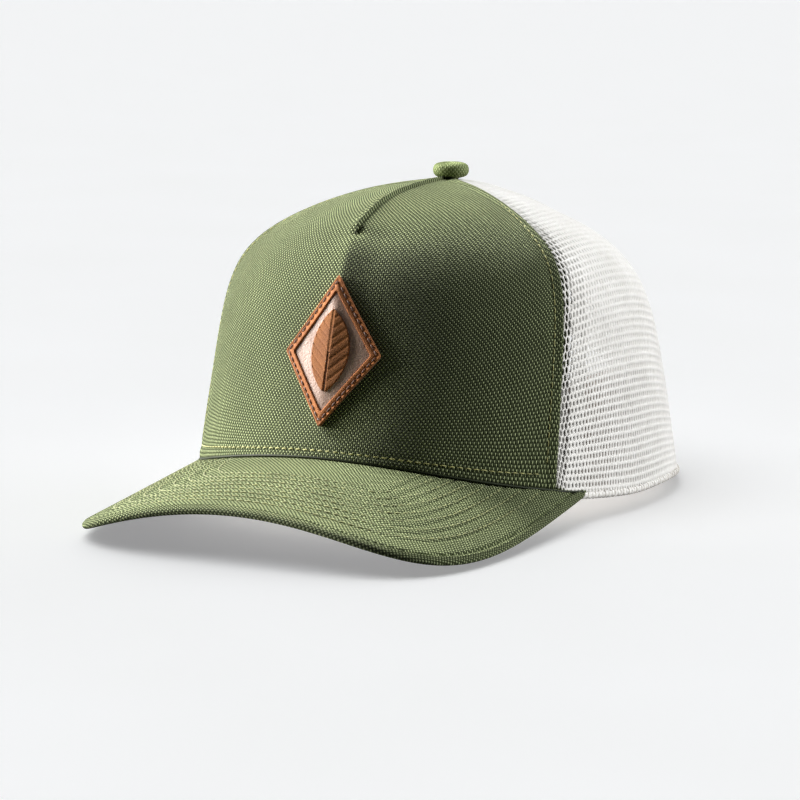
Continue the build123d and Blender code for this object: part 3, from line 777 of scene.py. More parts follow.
def back_mapper(x, z, depth):
    """Points on the back of the crown at x and z."""
    a, t = on_crown(x, z, 0.0, 180)
    return layer_point(a, t, np.asarray(depth) + 0 * a)


# ------------------------------------------------------------------ flat pieces bent onto a surface


def outline_side(loop):
    """Outward unit normals of a closed anticlockwise outline."""
    ahead = unit(np.roll(loop, -1, 0) - np.roll(loop, 1, 0))
    return np.stack([ahead[:, 1], -ahead[:, 0]], -1)


def inside_loop(points, loop):
    """Which flat points lie inside a closed outline."""
    x, y = points[:, 0], points[:, 1]
    hit = np.zeros(len(points), bool)
    for (ax, ay), (bx, by) in zip(loop, np.roll(loop, -1, 0)):
        crosses = (ay > y) != (by > y)
        with np.errstate(divide="ignore", invalid="ignore"):
            hit ^= crosses & (x < (bx - ax) * (y - ay) / (by - ay) + ax)
    return hit


def fill_plan(loops, spacing):
    """Triangulates the area inside the first loop and outside the others."""
    coords = [Vector(p) for loop in loops for p in loop]
    edges, start = [], 0
    for loop in loops:
        n = len(loop)
        edges += [(start + k, start + (k + 1) % n) for k in range(n)]
        start += n
    low, high = loops[0].min(0), loops[0].max(0)
    xs = np.arange(low[0] + spacing / 2, high[0], spacing)
    ys = np.arange(low[1] + spacing / 2, high[1], spacing)
    inner = np.stack(np.meshgrid(xs, ys, indexing="ij"), -1).reshape(-1, 2)
    keep = inside_loop(inner, loops[0])
    for loop in loops[1:]:
        keep &= ~inside_loop(inner, loop)
    border = np.concatenate(loops)
    gap = np.linalg.norm(inner[:, None] - border[None], axis=-1).min(1)
    coords += [Vector(p) for p in inner[keep & (gap > spacing * 0.45)]]
    result = delaunay_2d_cdt(coords, edges, [], 0, 1e-5)
    points = np.array([tuple(v) for v in result[0]])
    faces = np.array([f for f in result[2] if len(f) == 3])
    middle = points[faces].mean(1)
    keep = inside_loop(middle, loops[0])
    for loop in loops[1:]:
        keep &= ~inside_loop(middle, loop)
    faces = faces[keep]
    a, b, c = (points[faces[:, k]] for k in range(3))
    area = (b[:, 0] - a[:, 0]) * (c[:, 1] - a[:, 1]) - (b[:, 1] - a[:, 1]) * (c[:, 0] - a[:, 0])
    faces[area < 0] = faces[area < 0][:, ::-1]
    return points, faces[np.abs(area) > 1e-9]


def bent_plate(name, loops, mapper, depth, thickness, round_edge, spacing, relief=None, strap=False):
    """Plate with rounded edges, cut to flat loops (the first is the outside) and bent on a surface.

    The loops are anticlockwise for the outline and clockwise for holes.  A strap lies on the
    back, so its faces are turned round, and it rides no body.
    """
    r = round_edge
    sides = [outline_side(loop) for loop in loops]
    steps = [(r, 0.0), (0.3 * r, 0.3 * r), (0.0, r), (0.0, thickness - r),
             (0.3 * r, thickness - 0.3 * r), (r, thickness)]
    top, top_faces = fill_plan([loop - side * r for loop, side in zip(loops, sides)], spacing)
    lift = relief(top) if relief else np.zeros(len(top))
    points = [mapper(top[:, 0], top[:, 1], depth - lift),
              mapper(top[:, 0], top[:, 1], depth + thickness)]
    faces = [tuple(f) for f in top_faces] + [tuple(f[::-1] + len(top)) for f in top_faces]
    flat = [top, top]
    base = 2 * len(top)
    for loop, side in zip(loops, sides):
        for inset, down in steps:
            ring = loop - side * inset
            points.append(mapper(ring[:, 0], ring[:, 1], depth + down))
            flat.append(ring)
        faces += ring_faces(len(steps), len(loop), base, flip=True)
        base += len(loop) * len(steps)
    if strap:
        faces = [f[::-1] for f in faces]
    body = None if strap else "crown"
    piece = make_object(name, np.concatenate(points), faces, body, np.concatenate(flat))
    return weld(piece, 0.004)


def weld(piece, distance):
    """Joins points that lie closer than a distance and clears what has collapsed."""
    bm = bmesh.new()
    bm.from_mesh(piece.data)
    bmesh.ops.remove_doubles(bm, verts=bm.verts, dist=distance * MM)
    bmesh.ops.dissolve_degenerate(bm, edges=bm.edges, dist=distance * MM * 0.2)
    loose = [v for v in bm.verts if not v.link_faces]
    bmesh.ops.delete(bm, geom=loose, context="VERTS")
    bm.to_mesh(piece.data)
    bm.free()
    return piece


def hole_loop(x, z, radius):
    """Clockwise circle for a round hole."""
    count = 28
    angle = -np.arange(count) / count * 2 * np.pi
    return np.stack([x + radius * np.cos(angle), z + radius * np.sin(angle)], -1)


def dense_loop(corners, step, rounding=0.0):
    """Closed outline through corners, with rounded corners and points at even steps."""
    corners = np.array(corners, float)
    points = []
    for before, here, after in zip(np.roll(corners, 1, 0), corners, np.roll(corners, -1, 0)):
        if rounding:
            inward, outward = unit(before - here), unit(after - here)
            for s in np.linspace(0, 1, 6):
                points.append((1 - s) ** 2 * (here + inward * rounding) + 2 * s * (1 - s) * here
                              + s * s * (here + outward * rounding))
        else:
            points.append(here)
    points.append(points[0])
    points = np.array(points)
    length = run_along(points)
    places = np.linspace(0, length[-1], max(int(length[-1] / step), 8) + 1)[:-1]
    if not rounding:
        places = np.unique(np.concatenate([places, length[:-1]]))
        gaps = np.diff(places) > step * 0.2
        places = places[np.concatenate([[True], gaps])]
    return points_at(places, length, points)


# ------------------------------------------------------------------ the front panel


def front_relief(across, up, azimuth, t):
    """Fold, dart, turned seam edges, the groove of the topstitching and a slight waviness."""
    rise = crease(across, t)
    # The dart: cloth stands up on both sides, and the left lip lies over the right one.
    dart = smooth_step(t, DART_FOOT - 0.012, DART_FOOT + 0.02)
    crest = 1 - smooth_step(t, 0.82, 0.95)
    left_side = (0.9 + 1.1 * crest) * np.exp(np.minimum(across, 0) / 6.5)
    right_side = (0.4 + 1.1 * crest) * np.exp(-np.maximum(across, 0) / 6.5)
    fold = np.where(across < 0, left_side, right_side)
    lip = 0.75 * np.clip((across + 3.9) / 3.3, 0, 1) ** 0.6
    lip = lip + 0.12 * np.sin((up + across) * 2 * np.pi / 1.9) * (across > -3.5)
    lip = lip * (1 - smooth_step(across, -0.35, 0.25))
    rise = rise + dart * (fold + lip - 0.3 * bell(across, 0.3, 0.4))
    rise = rise - 0.8 * bell(across, 0.5, 2.2) * bell(t, DART_FOOT - 0.004, 0.014)
    # Soft drape on both sides of the fold below the dart.
    drape = smooth_step(t, 0.36, 0.6) * (1 - smooth_step(t, 0.66, 0.74))
    rise = rise + drape * (0.35 * bell(across, -14, 7) - 0.3 * bell(across, 9, 6))
    # The turned edge at the side seam, its row of stitches and the puckers between.
    radius = np.maximum(hem_radius(azimuth) * (1 - t**3), 8)
    seam = np.radians(front_seam(t) - np.abs(azimuth)) * radius
    rise = rise + 0.45 * bell(seam, 1.3, 1.2) - 0.32 * bell(seam, 4.6, 0.7)
    rise = rise + 0.14 * bell(seam, 3.0, 1.0) * np.sin(up * 2 * np.pi / 3.1)
    # The turned edge above the visor.
    foot = (t - FRONT_FOOT) * FRONT_LENGTH
    rise = rise - 0.32 * bell(foot, 4.7, 0.7) + 0.2 * bell(foot, 2.9, 1.1)
    rise = rise - 0.7 * bell(foot, 1.0, 1.2)
    wave = 0.16 * np.sin(across / 17 + up / 29) + 0.1 * np.sin(up / 11 - across / 23 + 1.3)
    return rise + wave * smooth_step(seam, 3, 14)


def make_front_panel():
    """The front cloth, the seam allowance turned in on both sides of it, and its foam."""
    panel = crown_sheet("front_cloth", mirrored(front_seam), front_seam, FRONT_FOOT, None, depth=0.0,
                        thickness=0.8, columns=235, rows=150, relief=front_relief, focus=0.28)
    finish_piece(panel, canvas, "green_cloth", "front_panel")
    for name, near, far in (("left", front_seam, shifted(front_seam, 4.6)),
                            ("right", shifted(mirrored(front_seam), -4.6), mirrored(front_seam))):
        turned = crown_sheet("turned_edge_" + name, near, far, SWEATBAND_TOP, SEAM_TOP, depth=1.75,
                             thickness=0.6, columns=9, rows=120)
        finish_piece(turned, canvas, "green_cloth")
    lining = crown_sheet("front_foam", beside(mirrored(front_seam), 0.6), beside(front_seam, -0.6),
                         FRONT_FOOT, None, depth=1.15, thickness=1.3, columns=90, rows=60)
    finish_piece(lining, foam, "foam", "front_panel_foam")


# ------------------------------------------------------------------ the net

HOLE_PITCH, ROW_PITCH, CORNER_RISE = 1.8, 2.78, 0.9
NET_GAP = 2.2
OPEN_SIZE, OPEN_REACH, OPEN_END = 1.7, 4.4, 5.4
NET_DEPTH = 0.45
HOLE = ((0, 0.88), (0.27, 0.5), (0.36, 0), (0.27, -0.5), (0, -0.88), (-0.27, -0.5), (-0.36, 0),
        (-0.27, 0.5))
CELL = ((0, ROW_PITCH - CORNER_RISE), (HOLE_PITCH / 2, CORNER_RISE), (HOLE_PITCH / 2, 0),
        (HOLE_PITCH / 2, -CORNER_RISE), (0, CORNER_RISE - ROW_PITCH), (-HOLE_PITCH / 2, -CORNER_RISE),
        (-HOLE_PITCH / 2, 0), (-HOLE_PITCH / 2, CORNER_RISE))


def arch_share(points):
    """Below 1 inside the edge of the net round the rear arch, 1 on it."""
    x, z = points[..., 0], points[..., 2]
    above = np.hypot(x / (ARCH_HALF + NET_GAP), (z - ARCH_SPRING) / (ARCH_RISE + NET_GAP))
    below = np.abs(x) / (ARCH_HALF + NET_GAP)
    rear = points[..., 1] > CROWN_Y
    return np.where(rear, np.where(z > ARCH_SPRING, above, below), 9.0)


def cut_arch(points, low, depth):
    """Moves points inside the rear arch out to its edge, and says which they are."""
    share = arch_share(points)
    inside = share < 1
    inner = points[inside]
    scale = 1 / np.maximum(share[inside], 0.05)
    climb = inner[:, 2] - ARCH_SPRING
    z = np.where(climb > 0, climb * scale + ARCH_SPRING, inner[:, 2])
    azimuth, t = on_crown(inner[:, 0] * scale, z, 0.0, 180)
    points[inside] = layer_point(azimuth, np.maximum(t, low), depth)
    return inside


def drifted(points):
    """Flat points moved a little, because a knit is never quite even."""
    x, y = points[..., 0], points[..., 1]
    return points + 0.13 * np.stack([np.sin(y / 7.3), np.sin(x / 9.1)], -1)


def net_centres(cloth, strips, shift):
    """Centres of the holes, in staggered rows."""
    half = max(abs(cloth.across[:, 0]).max(), abs(cloth.across[:, -1]).max()) + HOLE_PITCH
    columns = int(half / HOLE_PITCH) + 1
    past = 0.55 * HOLE_PITCH
    centres = []
    for r in range(int(cloth.up[-1] / ROW_PITCH) + 2):
        up = (r + 0.15) * ROW_PITCH
        left, right = cloth.limits(np.clip(up, 0, cloth.up[-1]))
        for c in range(-columns, columns + 1):
            x = (c + 0.5 * (r % 2) + shift) * HOLE_PITCH
            from_start, from_end = x - left, right - x
            if from_start < -past or from_end < -past:
                continue
            if up - 1.2 * ROW_PITCH > cloth.up[-1]:
                continue
            if strips and not (strips[0][0] < from_start < strips[0][1]
                               or strips[1][0] < from_end < strips[1][1]):
                continue
            centres.append((x, up))
    return np.array(centres)


def net_sheet(name, start, end, low, high, depth, strips=None, shift=0.0, arch=False, waviness=0.25,
              open_side=0):
    """Knitted net with real holes: rounded threads between staggered oval holes.

    strips limits the net to (from, to) distances from its start edge and from its end edge.
    open_side says on which edge (-1 start, 1 end) the net is drawn open by the seam.
    """
    cloth = Cloth(start, end, low, high)
    centres = net_centres(cloth, strips, shift)
    size = 1 + rng.normal(0, 0.07, (len(centres), 1, 1))
    if open_side:
        left, right = cloth.limits(np.clip(centres[:, 1], 0, cloth.up[-1]))
        gap = centres[:, 0] - left if open_side < 0 else right - centres[:, 0]
        closing = smooth_step(gap, OPEN_REACH, OPEN_END)
        size = size * (OPEN_SIZE - (OPEN_SIZE - 1) * closing)[:, None, None]
    # Five rings of points round each hole: the thread's middle and shoulder on the outside,
    # its side in the hole, and the same shoulder and middle on the inside.
    edge = drifted(centres[:, None] + np.array(CELL)[None])
    hole = drifted(centres)[:, None] + np.array(HOLE) * size
    shoulder = hole * 0.55 + edge * 0.45
    corners = len(HOLE)
    flat = np.stack([edge, shoulder, hole, shoulder, edge], 1)
    lift = np.tile(np.repeat([0.40, 0.30, 0.0, -0.30, -0.40], corners), len(centres))
    across, up = flat[..., 0].ravel(), flat[..., 1].ravel()
    left, right = cloth.limits(np.clip(up, 0, cloth.up[-1]))
    border = (across <= left) | (across >= right) | (up <= 0) | (up >= cloth.up[-1])
    azimuth, t = cloth.place(across, np.clip(up, 0, cloth.up[-1]))
    sway = waviness * np.sin(across / 8.5 + up / 13) * np.sin(up / 10 + 0.8)
    sway = sway * smooth_step(np.minimum(across - left, right - across), 1.5, 8.0)
    points = layer_point(azimuth, t, depth + NET_DEPTH - sway - np.where(border, 0, lift))
    kept = np.arange(len(centres))
    if arch:
        inside = cut_arch(points, low, depth + NET_DEPTH)
        kept = kept[~inside.reshape(len(centres), -1).all(1)]
    faces = []
    for k in kept:
        faces += [f[::-1] for f in ring_faces(5, corners, k * 5 * corners)]
    piece = make_object(name, points, faces, uv=np.stack([across, up], -1))
    return weld(piece, 0.02)


NET_EDGES = {
    "side_mesh_left": (beside(front_seam, 0.15), fixed(REAR_SEAM - 0.15)),
    "side_mesh_right": (fixed(0.15 - REAR_SEAM), beside(mirrored(front_seam), -0.15)),
    "back_mesh_left": (fixed(REAR_SEAM + 0.15), fixed(179.85)),
    "back_mesh_right": (fixed(180.15), fixed(359.85 - REAR_SEAM)),
}


def make_nets():
    """The four net panels and, behind them, the net's own seam allowances."""
    for node, (start, end) in NET_EDGES.items():
        back = node.startswith("back")
        side = {"side_mesh_left": -1, "side_mesh_right": 1}.get(node, 0)
        panel = net_sheet(node.replace("mesh", "net"), start, end, 0.004, None, 0.0, arch=back,
                          open_side=side)
        finish_piece(panel, white_net, "net", node)
        narrow, wide = (0.0, 5.2), (4.8, 12.8)
        strips = (wide if side < 0 else narrow, wide if side > 0 else narrow)
        allowance = net_sheet(node.replace("mesh", "seam_allowance"), start, end, 0.006, SEAM_TOP,
                              0.75, strips=strips, shift=0.3, arch=back, waviness=0.0)
        finish_piece(allowance, white_net, "net")


# ------------------------------------------------------------------ hem, binding, tapes

OVERLOCK_PITCH = 1.9375
HEM_END = 180 - np.degrees(np.arcsin((ARCH_HALF + 3.0) / 92.5))


def crown_path(azimuth, t, depth):
    """Points of a line on the crown, with side directions along the crown and normals."""
    azimuth, t = np.broadcast_arrays(np.asarray(azimuth, float), np.asarray(t, float))
    path = layer_point(azimuth, t, np.full(t.shape, float(depth)))
    normal = crown_normal(azimuth, t)
    side = unit(np.cross(np.gradient(path, axis=0), normal))
    return path, side, normal


def make_hems():
    """Turned hem of the net, rolled over and overlocked with slanting thread."""
    turns = np.arange(20) / 20 * 2 * np.pi
    for side_name, low, high in (("left", VISOR_ROOT - 2, HEM_END),
                                 ("right", 360 - HEM_END, 362 - VISOR_ROOT)):
        azimuth = np.linspace(low, high, 620)
        height = 0.0020 + 0.0024 * smooth_step(from_front(azimuth), 60, 120)
        path, side, normal = crown_path(azimuth, height, 0.35)
        length = run_along(path)
        twist = turns[None] - length[:, None] * 2 * np.pi / 3.1
        swell = 1 + 0.1 * np.abs(np.cos(twist)) ** 0.7 * np.sign(np.cos(twist))
        swell = swell + 0.07 * np.sin(turns[None] * 3 + length[:, None] * 1.7)
        profile = np.stack([np.cos(turns) * 1.15 * swell, np.sin(turns) * 0.95 * swell], -1)
        hem = sweep("rolled_hem_" + side_name, path, side, normal, profile, uv_scale=6.0)
        finish_piece(hem, white_net, "net", "hem_" + side_name)
        place = np.arange(0, length[-1], 0.085)
        angle = place / OVERLOCK_PITCH * 2 * np.pi
        centre, across, out = (points_at(place, length, line) for line in (path, side, normal))
        coil = centre + across * (1.2 * np.cos(angle))[:, None] + out * np.sin(angle)[:, None]
        thread = tube("hem_overlock_" + side_name, coil, 0.16, 4)
        finish_piece(thread, pale_thread, "net")


def tube(name, path, radius, sides):
    """Round cord along a path."""
    ahead = unit(np.gradient(path, axis=0))
    guide = np.roll(ahead, 1, axis=1) * np.array([1.0, -1.0, 1.0])
    side = unit(np.cross(ahead, guide))
    lift = np.cross(side, ahead)
    angle = np.arange(sides) / sides * 2 * np.pi
    ring = np.stack([np.cos(angle), np.sin(angle)], -1) * radius
    return sweep(name, path, side, lift, ring)


def arch_line(offset, step):
    """The arch outline grown by an offset, from one foot over the top to the other."""
    half, rise = ARCH_HALF + offset, ARCH_RISE + offset
    angle = np.linspace(0, np.pi, 400)
    x = np.concatenate([np.full(40, half), half * np.cos(angle), np.full(40, -half)])
    climb = np.linspace(1.0, ARCH_SPRING, 40, endpoint=False)
    z = np.concatenate([climb, ARCH_SPRING + rise * np.sin(angle), climb[::-1]])
    line = np.stack([x, z], -1)
    return even_steps(line, int(run_along(line)[-1] / step))


def make_binding():
    """Folded tape round the rear arch, with two rows of stitches."""
    path, side, normal = crown_path(*on_crown(*arch_line(2.5, 0.6).T, 0.0, 180), 0.47)
    if side[len(side) // 2, 2] < 0:
        side = -side
    angle = np.arange(28) / 28 * 2 * np.pi
    flat = np.sign(np.cos(angle)) * np.abs(np.cos(angle)) ** 0.45 * 2.45
    puff = np.sign(np.sin(angle)) * np.abs(np.sin(angle)) ** 0.6 * 0.92
    ripple = 0.05 * np.sin(run_along(path)[:, None] * 2 * np.pi / 2.6)
    profile = np.stack(np.broadcast_arrays(flat, puff * (1 + ripple * (np.abs(flat) < 1.9))), -1)
    tape = sweep("arch_binding", path, side, normal, profile, uv_scale=14.0)
    finish_piece(tape, binding_tape, "white_tape", "rear_arch_binding")
    rows = []
    for offset in (1.2, 3.9):
        azimuth, t = on_crown(*arch_line(offset, 0.5).T, 0.0, 180)
        for depth, outwards in ((-0.42, 1.0), (1.36, -1.0)):
            path, side, normal = crown_path(azimuth, t, depth)
            rows.append((path, normal * outwards))
    finish_piece(stitches("binding_stitches", rows, *BINDING_STITCH), pale_thread, "white_tape")


def tape_swell(across, up, azimuth, t):
    """A tape is slightly crowned, with faint waves along it."""
    return -0.25 * np.cos(across / 5.5 * np.pi / 2) - 0.08 * np.sin(up * 2 * np.pi / 9.0)


def make_tapes():
    """Tapes that cover the seams on the inside, sewn along both edges."""
    seams = {
        # The front tapes are white tape in a darker grey copy, which is painted shade of their place
        # behind the net.
        "front_seam_tape_left": (front_seam, 2.6, 0.0, white_tape_painted_shade),
        "front_seam_tape_right": (beside(mirrored(front_seam), 360), 2.6, 0.0, white_tape_painted_shade),
        "rear_seam_tape_left": (fixed(REAR_SEAM), 1.1, NET_FOOT, white_tape),
        "rear_seam_tape_right": (fixed(360 - REAR_SEAM), 1.1, NET_FOOT, white_tape),
        "back_seam_tape": (fixed(180), 1.1, 0.40, white_tape),
    }
    rows = []
    for node, (seam, depth, foot, material) in seams.items():
        tape = crown_sheet(node + "_cloth", shifted(seam, -5.5), shifted(seam, 5.5), foot, SEAM_TOP,
                           depth, thickness=0.4, columns=21, rows=150, relief=tape_swell, edge=0.1)
        finish_piece(tape, material, "white_tape", node)
        t = np.linspace(foot + 0.01, 0.9, 300)
        for offset in (-4.3, 4.3):
            path, _, normal = crown_path(shifted(seam, offset)(t), t, depth + 0.5)
            rows.append((path, -normal))
    finish_piece(stitches("tape_stitches", rows, *TAPE_STITCH), pale_thread, "white_tape")


# ------------------------------------------------------------------ sweatband and label

BAND_SEAMS = (0.86, 0.09)
LABEL_HALF, LABEL_LENGTH = 11.0, 0.085


def band_depth(azimuth):
    """The sweatband lies deeper towards the back, behind the straps."""
    return 3.3 + 1.55 * smooth_step(from_front(azimuth), 90, 135)


def band_puff(across, up, azimuth, t):
    """Puffed cloth with a stitched groove below the rolled top edge, puckers and creases."""
    share = (t - SWEATBAND_FOOT) / (SWEATBAND_TOP - SWEATBAND_FOOT)
    body = -0.45 * np.sin(np.pi * np.clip(share, 0, 1)) ** 0.7
    groove = 0.5 * bell(share, BAND_SEAMS[0], 0.035)
    pucker = 0.1 * np.sin(across * 2 * np.pi / 3.2) * smooth_step(share, 0.72, 0.9)
    creases = 0.1 * np.sin(across / 4.7 + 3 * np.sin(up / 9)) * np.sin(np.pi * share)
    return body + groove + pucker + creases


def make_sweatband():
    """Soft band inside the hem, with two rows of stitches."""
    band = crown_sheet("sweatband_cloth", fixed(-149), fixed(149), SWEATBAND_FOOT, SWEATBAND_TOP,
                       band_depth, thickness=1.2, columns=520, rows=44, relief=band_puff,
                       edge=0.35)
    finish_piece(band, towel, "sweatband_cloth", "sweatband")
    azimuth = np.linspace(-147, 147, 900)
    rows = []
    for share in BAND_SEAMS:
        t = np.full(900, SWEATBAND_FOOT + share * (SWEATBAND_TOP - SWEATBAND_FOOT))
        rows.append((layer_point(azimuth, t, band_depth(azimuth) + 1.3), -crown_normal(azimuth, t)))
    finish_piece(stitches("sweatband_stitches", rows, *BAND_STITCH), pale_thread, "sweatband_cloth")


def label_curl(across, up, azimuth, t):
    """The free end of the label curls away."""
    hang = smooth_step(t, SWEATBAND_TOP - 0.03, SWEATBAND_TOP - LABEL_LENGTH)
    return -0.5 * hang - 0.15 * np.sin(across / 4)


def make_label():
    """Blank woven label that hangs from the top edge of the sweatband."""
    reach = math.degrees(LABEL_HALF / HALF_WIDTH)
    label = crown_sheet("blank_label", fixed(100 - reach), fixed(100 + reach),
                        SWEATBAND_TOP - LABEL_LENGTH, SWEATBAND_TOP + 0.01, depth=5.6,
                        thickness=0.35, columns=40, rows=40, relief=label_curl, edge=0.1)
    finish_piece(label, label_cloth, "label_cloth", "care_label")


# ------------------------------------------------------------------ the visor


def visor_outline(turn, inset):
    """Plan of the visor's free edge, turn from -90 at the right root to 90 at the left."""
    half = VISOR_HALF - inset
    front_y = CROWN_Y - FRONT_REACH - VISOR_PROJECTION + inset
    radius, root = hem_radius(np.float64(VISOR_ROOT)), math.radians(VISOR_ROOT)
    root_x, root_y = radius * math.sin(root) - inset, CROWN_Y - radius * math.cos(root)
    angle = np.radians(turn)
    across = np.abs(np.sin(angle)) ** (2 / VISOR_SQUARENESS)
    forwards = np.abs(np.cos(angle)) ** (2 / VISOR_SQUARENESS)
    x = half * across * (1 - (1 - root_x / half) * (1 - forwards) ** VISOR_CORNER)
    return np.stack([np.sign(turn) * x, root_y + (front_y - root_y) * forwards], -1)


def fine_turns():
    """Turns along the whole free edge, closest together in the middle."""
    share = np.linspace(-1, 1, 6001)
    return np.sign(share) * 90 * np.abs(share) ** 1.6


def even_outline(inset, count):
    """The outline at even steps, so that its corners get enough points."""
    return even_steps(visor_outline(fine_turns(), inset), count)


def crown_line(count, outset, tuck=0.0):
    """Foot of the crown in plan, from one visor root to the other.

    Beside the front panel the line is tucked in, so that the visor runs on under the hem.
    """
    azimuth = np.linspace(-VISOR_ROOT, VISOR_ROOT, 2001)
    inwards = tuck * smooth_step(np.abs(azimuth), FRONT_SEAM - 1.5, FRONT_SEAM + 0.5)
    return even_steps(layer_point(azimuth, 0 * azimuth, inwards - outset)[:, :2], count)


def visor_normal(x, y):
    """Upward directions of the visor's top face."""
    slope = x / np.sqrt(VISOR_RADIUS**2 - x**2)
    return unit(np.stack([slope, np.full_like(x, -VISOR_SLOPE), np.ones_like(x)], -1))


def visor_point(x, y, drop=0.0):
    """Points on the visor's top face, or at a drop below it."""
    return np.stack([x, y, visor_height(x, y)], -1) - visor_normal(x, y) * drop


ROW_START, ROW_STEP, ROW_COUNT = 10.0, 4.5, 8
EDGE_SEAM = 3.0
VISOR_TUCK = 1.2


def inset_of(x, y):
    """Distance of visor points from the free edge, in plan."""
    border = even_outline(0, 700)
    flat = np.stack([x.ravel(), y.ravel()], -1)
    nearest = np.concatenate([
        np.linalg.norm(part[:, None] - border[None], axis=-1).min(1)
        for part in np.array_split(flat, max(len(flat) // 4000, 1))
    ])
    return nearest.reshape(x.shape)


def channels(inset, width):
    """Bumps of height 1 along the stitch rows."""
    return sum(bell(inset, ROW_START + row * ROW_STEP, width) for row in range(ROW_COUNT))


def visor_relief(inset, x, y):
    """Grooves of the stitch rows, the seam of the wrapped edge and a slight waviness."""
    rise = 0.12 * np.sin(x / 21 + 0.6) * np.sin(y / 17) - 0.34 * channels(inset, 0.7)
    return rise - 0.65 * bell(inset, EDGE_SEAM, 0.5) + 0.25 * bell(inset, EDGE_SEAM / 2, 0.8)


def visor_turns(count):
    """Turns that give even steps along the free edge."""
    turn = fine_turns()
    length = run_along(visor_outline(turn, 0))
    return np.interp(np.linspace(0, length[-1], count), length, turn)


def visor_sheet(name, free_inset, top, bottom, wrapped):
    """Closed cloth shell of the visor; a wrapped one turns round the free edge."""
    columns, coarse_rows, edge_rows, edge_share = 330, 84, 26, 0.1
    turn = visor_turns(columns)
    half = VISOR_THICKNESS / 2
    round_in = half if wrapped else 0.3
    inner = crown_line(columns, -VISOR_TUCK, 3.0)
    outer = visor_outline(turn, free_inset + round_in)
    shares = np.concatenate([np.linspace(0, 1 - edge_share, coarse_rows),
                             np.linspace(1 - edge_share, 1, edge_rows)[1:]])
    rows = len(shares)
    plan = inner[:, None] + (outer - inner)[:, None] * shares[None, :, None]
    x, y = plan[..., 0], plan[..., 1]
    inset, normal, ground = inset_of(x, y), visor_normal(x, y), visor_point(x, y)
    reach = np.linalg.norm(outer - inner, axis=-1)[:, None]
    if wrapped:
        beside_front = 1 - smooth_step(np.abs(x), 62, 68)
        from_foot = shares[None] * reach - VISOR_TUCK
        lift = visor_relief(inset, x, y) - 0.6 * beside_front * bell(from_foot, 0, 1.2)
    else:
        lift = 0.12 * np.sin(x / 19) * np.sin(y / 23) + 0.22 * channels(inset, 0.8)
    lift = lift * np.clip(reach / 6, 0, 1)
    upper = ground + normal * (lift - top)[..., None]
    under = ground - normal * bottom + normal * (np.minimum(lift, 0) * 0.5)[..., None]
    layers = [upper.transpose(1, 0, 2)]
    # Round the free edge, then under the board and back inside the cloth: (inset, drop).
    rings = []
    if wrapped:
        for angle in np.radians(np.arange(12, 181, 12)):
            bead = 0.12 * math.sin(angle)
            rings.append((round_in * (1 - math.sin(angle)) + bead, half * (1 - math.cos(angle))))
        rings += [(2.6, VISOR_THICKNESS + 0.05), (3.6, VISOR_THICKNESS),
                  (3.7, VISOR_THICKNESS - 0.4), (1.2, VISOR_THICKNESS - 0.6), (0.7, half),
                  (1.2, 0.75)]
    for ring_inset, drop in rings:
        layers.append(visor_point(*visor_outline(turn, ring_inset).T, drop)[None])
    layers.append(under.transpose(1, 0, 2)[::-1])
    flat = np.concatenate(layers, 0).transpose(1, 0, 2)
    depth = flat.shape[1]
    faces = [f[::-1] for f in grid_faces(columns, depth)]
    for c in range(columns - 1):
        low, high = c * depth, (c + 1) * depth
        faces.append((low + depth - 1, high + depth - 1, high, low))
    # The cloth runs on past the free edge, so its coordinates do too.
    uv = np.stack([VISOR_RADIUS * np.arcsin(flat[..., 0] / VISOR_RADIUS), flat[..., 1]], -1)
    steps = np.linalg.norm(np.diff(flat, axis=1), axis=-1)
    run = np.concatenate([np.zeros((columns, 1)), np.cumsum(steps, 1)], 1)
    past = np.clip(run - run[:, rows - 1][:, None], 0, 9) * (np.arange(depth) < depth - rows)
    away = unit(visor_outline(turn, 0) - visor_outline(turn, 1.0))
    uv = uv + away[:, None] * past[..., None]
    piece = make_object(name, flat.reshape(-1, 3), faces, uv=uv.reshape(-1, 2))
    return weld(piece, 0.002)


def visor_rows(drop, under=False):
    """Stitch rows as lines on the visor, cut off where they meet the crown."""
    rows = []
    foot = crown_line(400, 1.2)
    core = np.concatenate([foot, [[foot[-1][0], CROWN_Y + 40], [foot[0][0], CROWN_Y + 40]]])
    root_y = visor_outline(np.array([89.9]), 0)[0, 1]
    for row in range(ROW_COUNT):
        line = even_outline(ROW_START + row * ROW_STEP, 900)
        line = line[~inside_loop(line, core) & (line[:, 1] < root_y - 1.0)]
        gaps = np.nonzero(np.linalg.norm(np.diff(line, axis=0), axis=1) > 4)[0]
        for part in np.split(line, gaps + 1):
            if len(part) < 12:
                continue
            normal = visor_normal(*part.T)
            rows.append((visor_point(*part.T, drop), -normal if under else normal))
    return rows


def make_visor_seam_and_shadow():
    """Dark cord where the crown is sewn onto the visor, from root to root: partly the turned cloth
    edge, and darkened nearly to black as painted shadow of the gap at the join.
    """
    azimuth = np.linspace(2.2 - VISOR_ROOT, VISOR_ROOT - 2.2, 500)
    inwards = 0.6 * (1 - smooth_step(np.abs(azimuth), FRONT_SEAM - 1, FRONT_SEAM + 1))
    path = layer_point(azimuth, 0 * azimuth, inwards - 0.35)
    path[:, 2] = visor_height(path[:, 0], path[:, 1]) + 0.05
    seam = tube("visor_root_seam_and_shadow", path, 0.45, 10)
    # The nearly black thread is painted shadow at the join as well as the turned edge.
    finish_piece(seam, shadow_line_thread, "green_cloth")


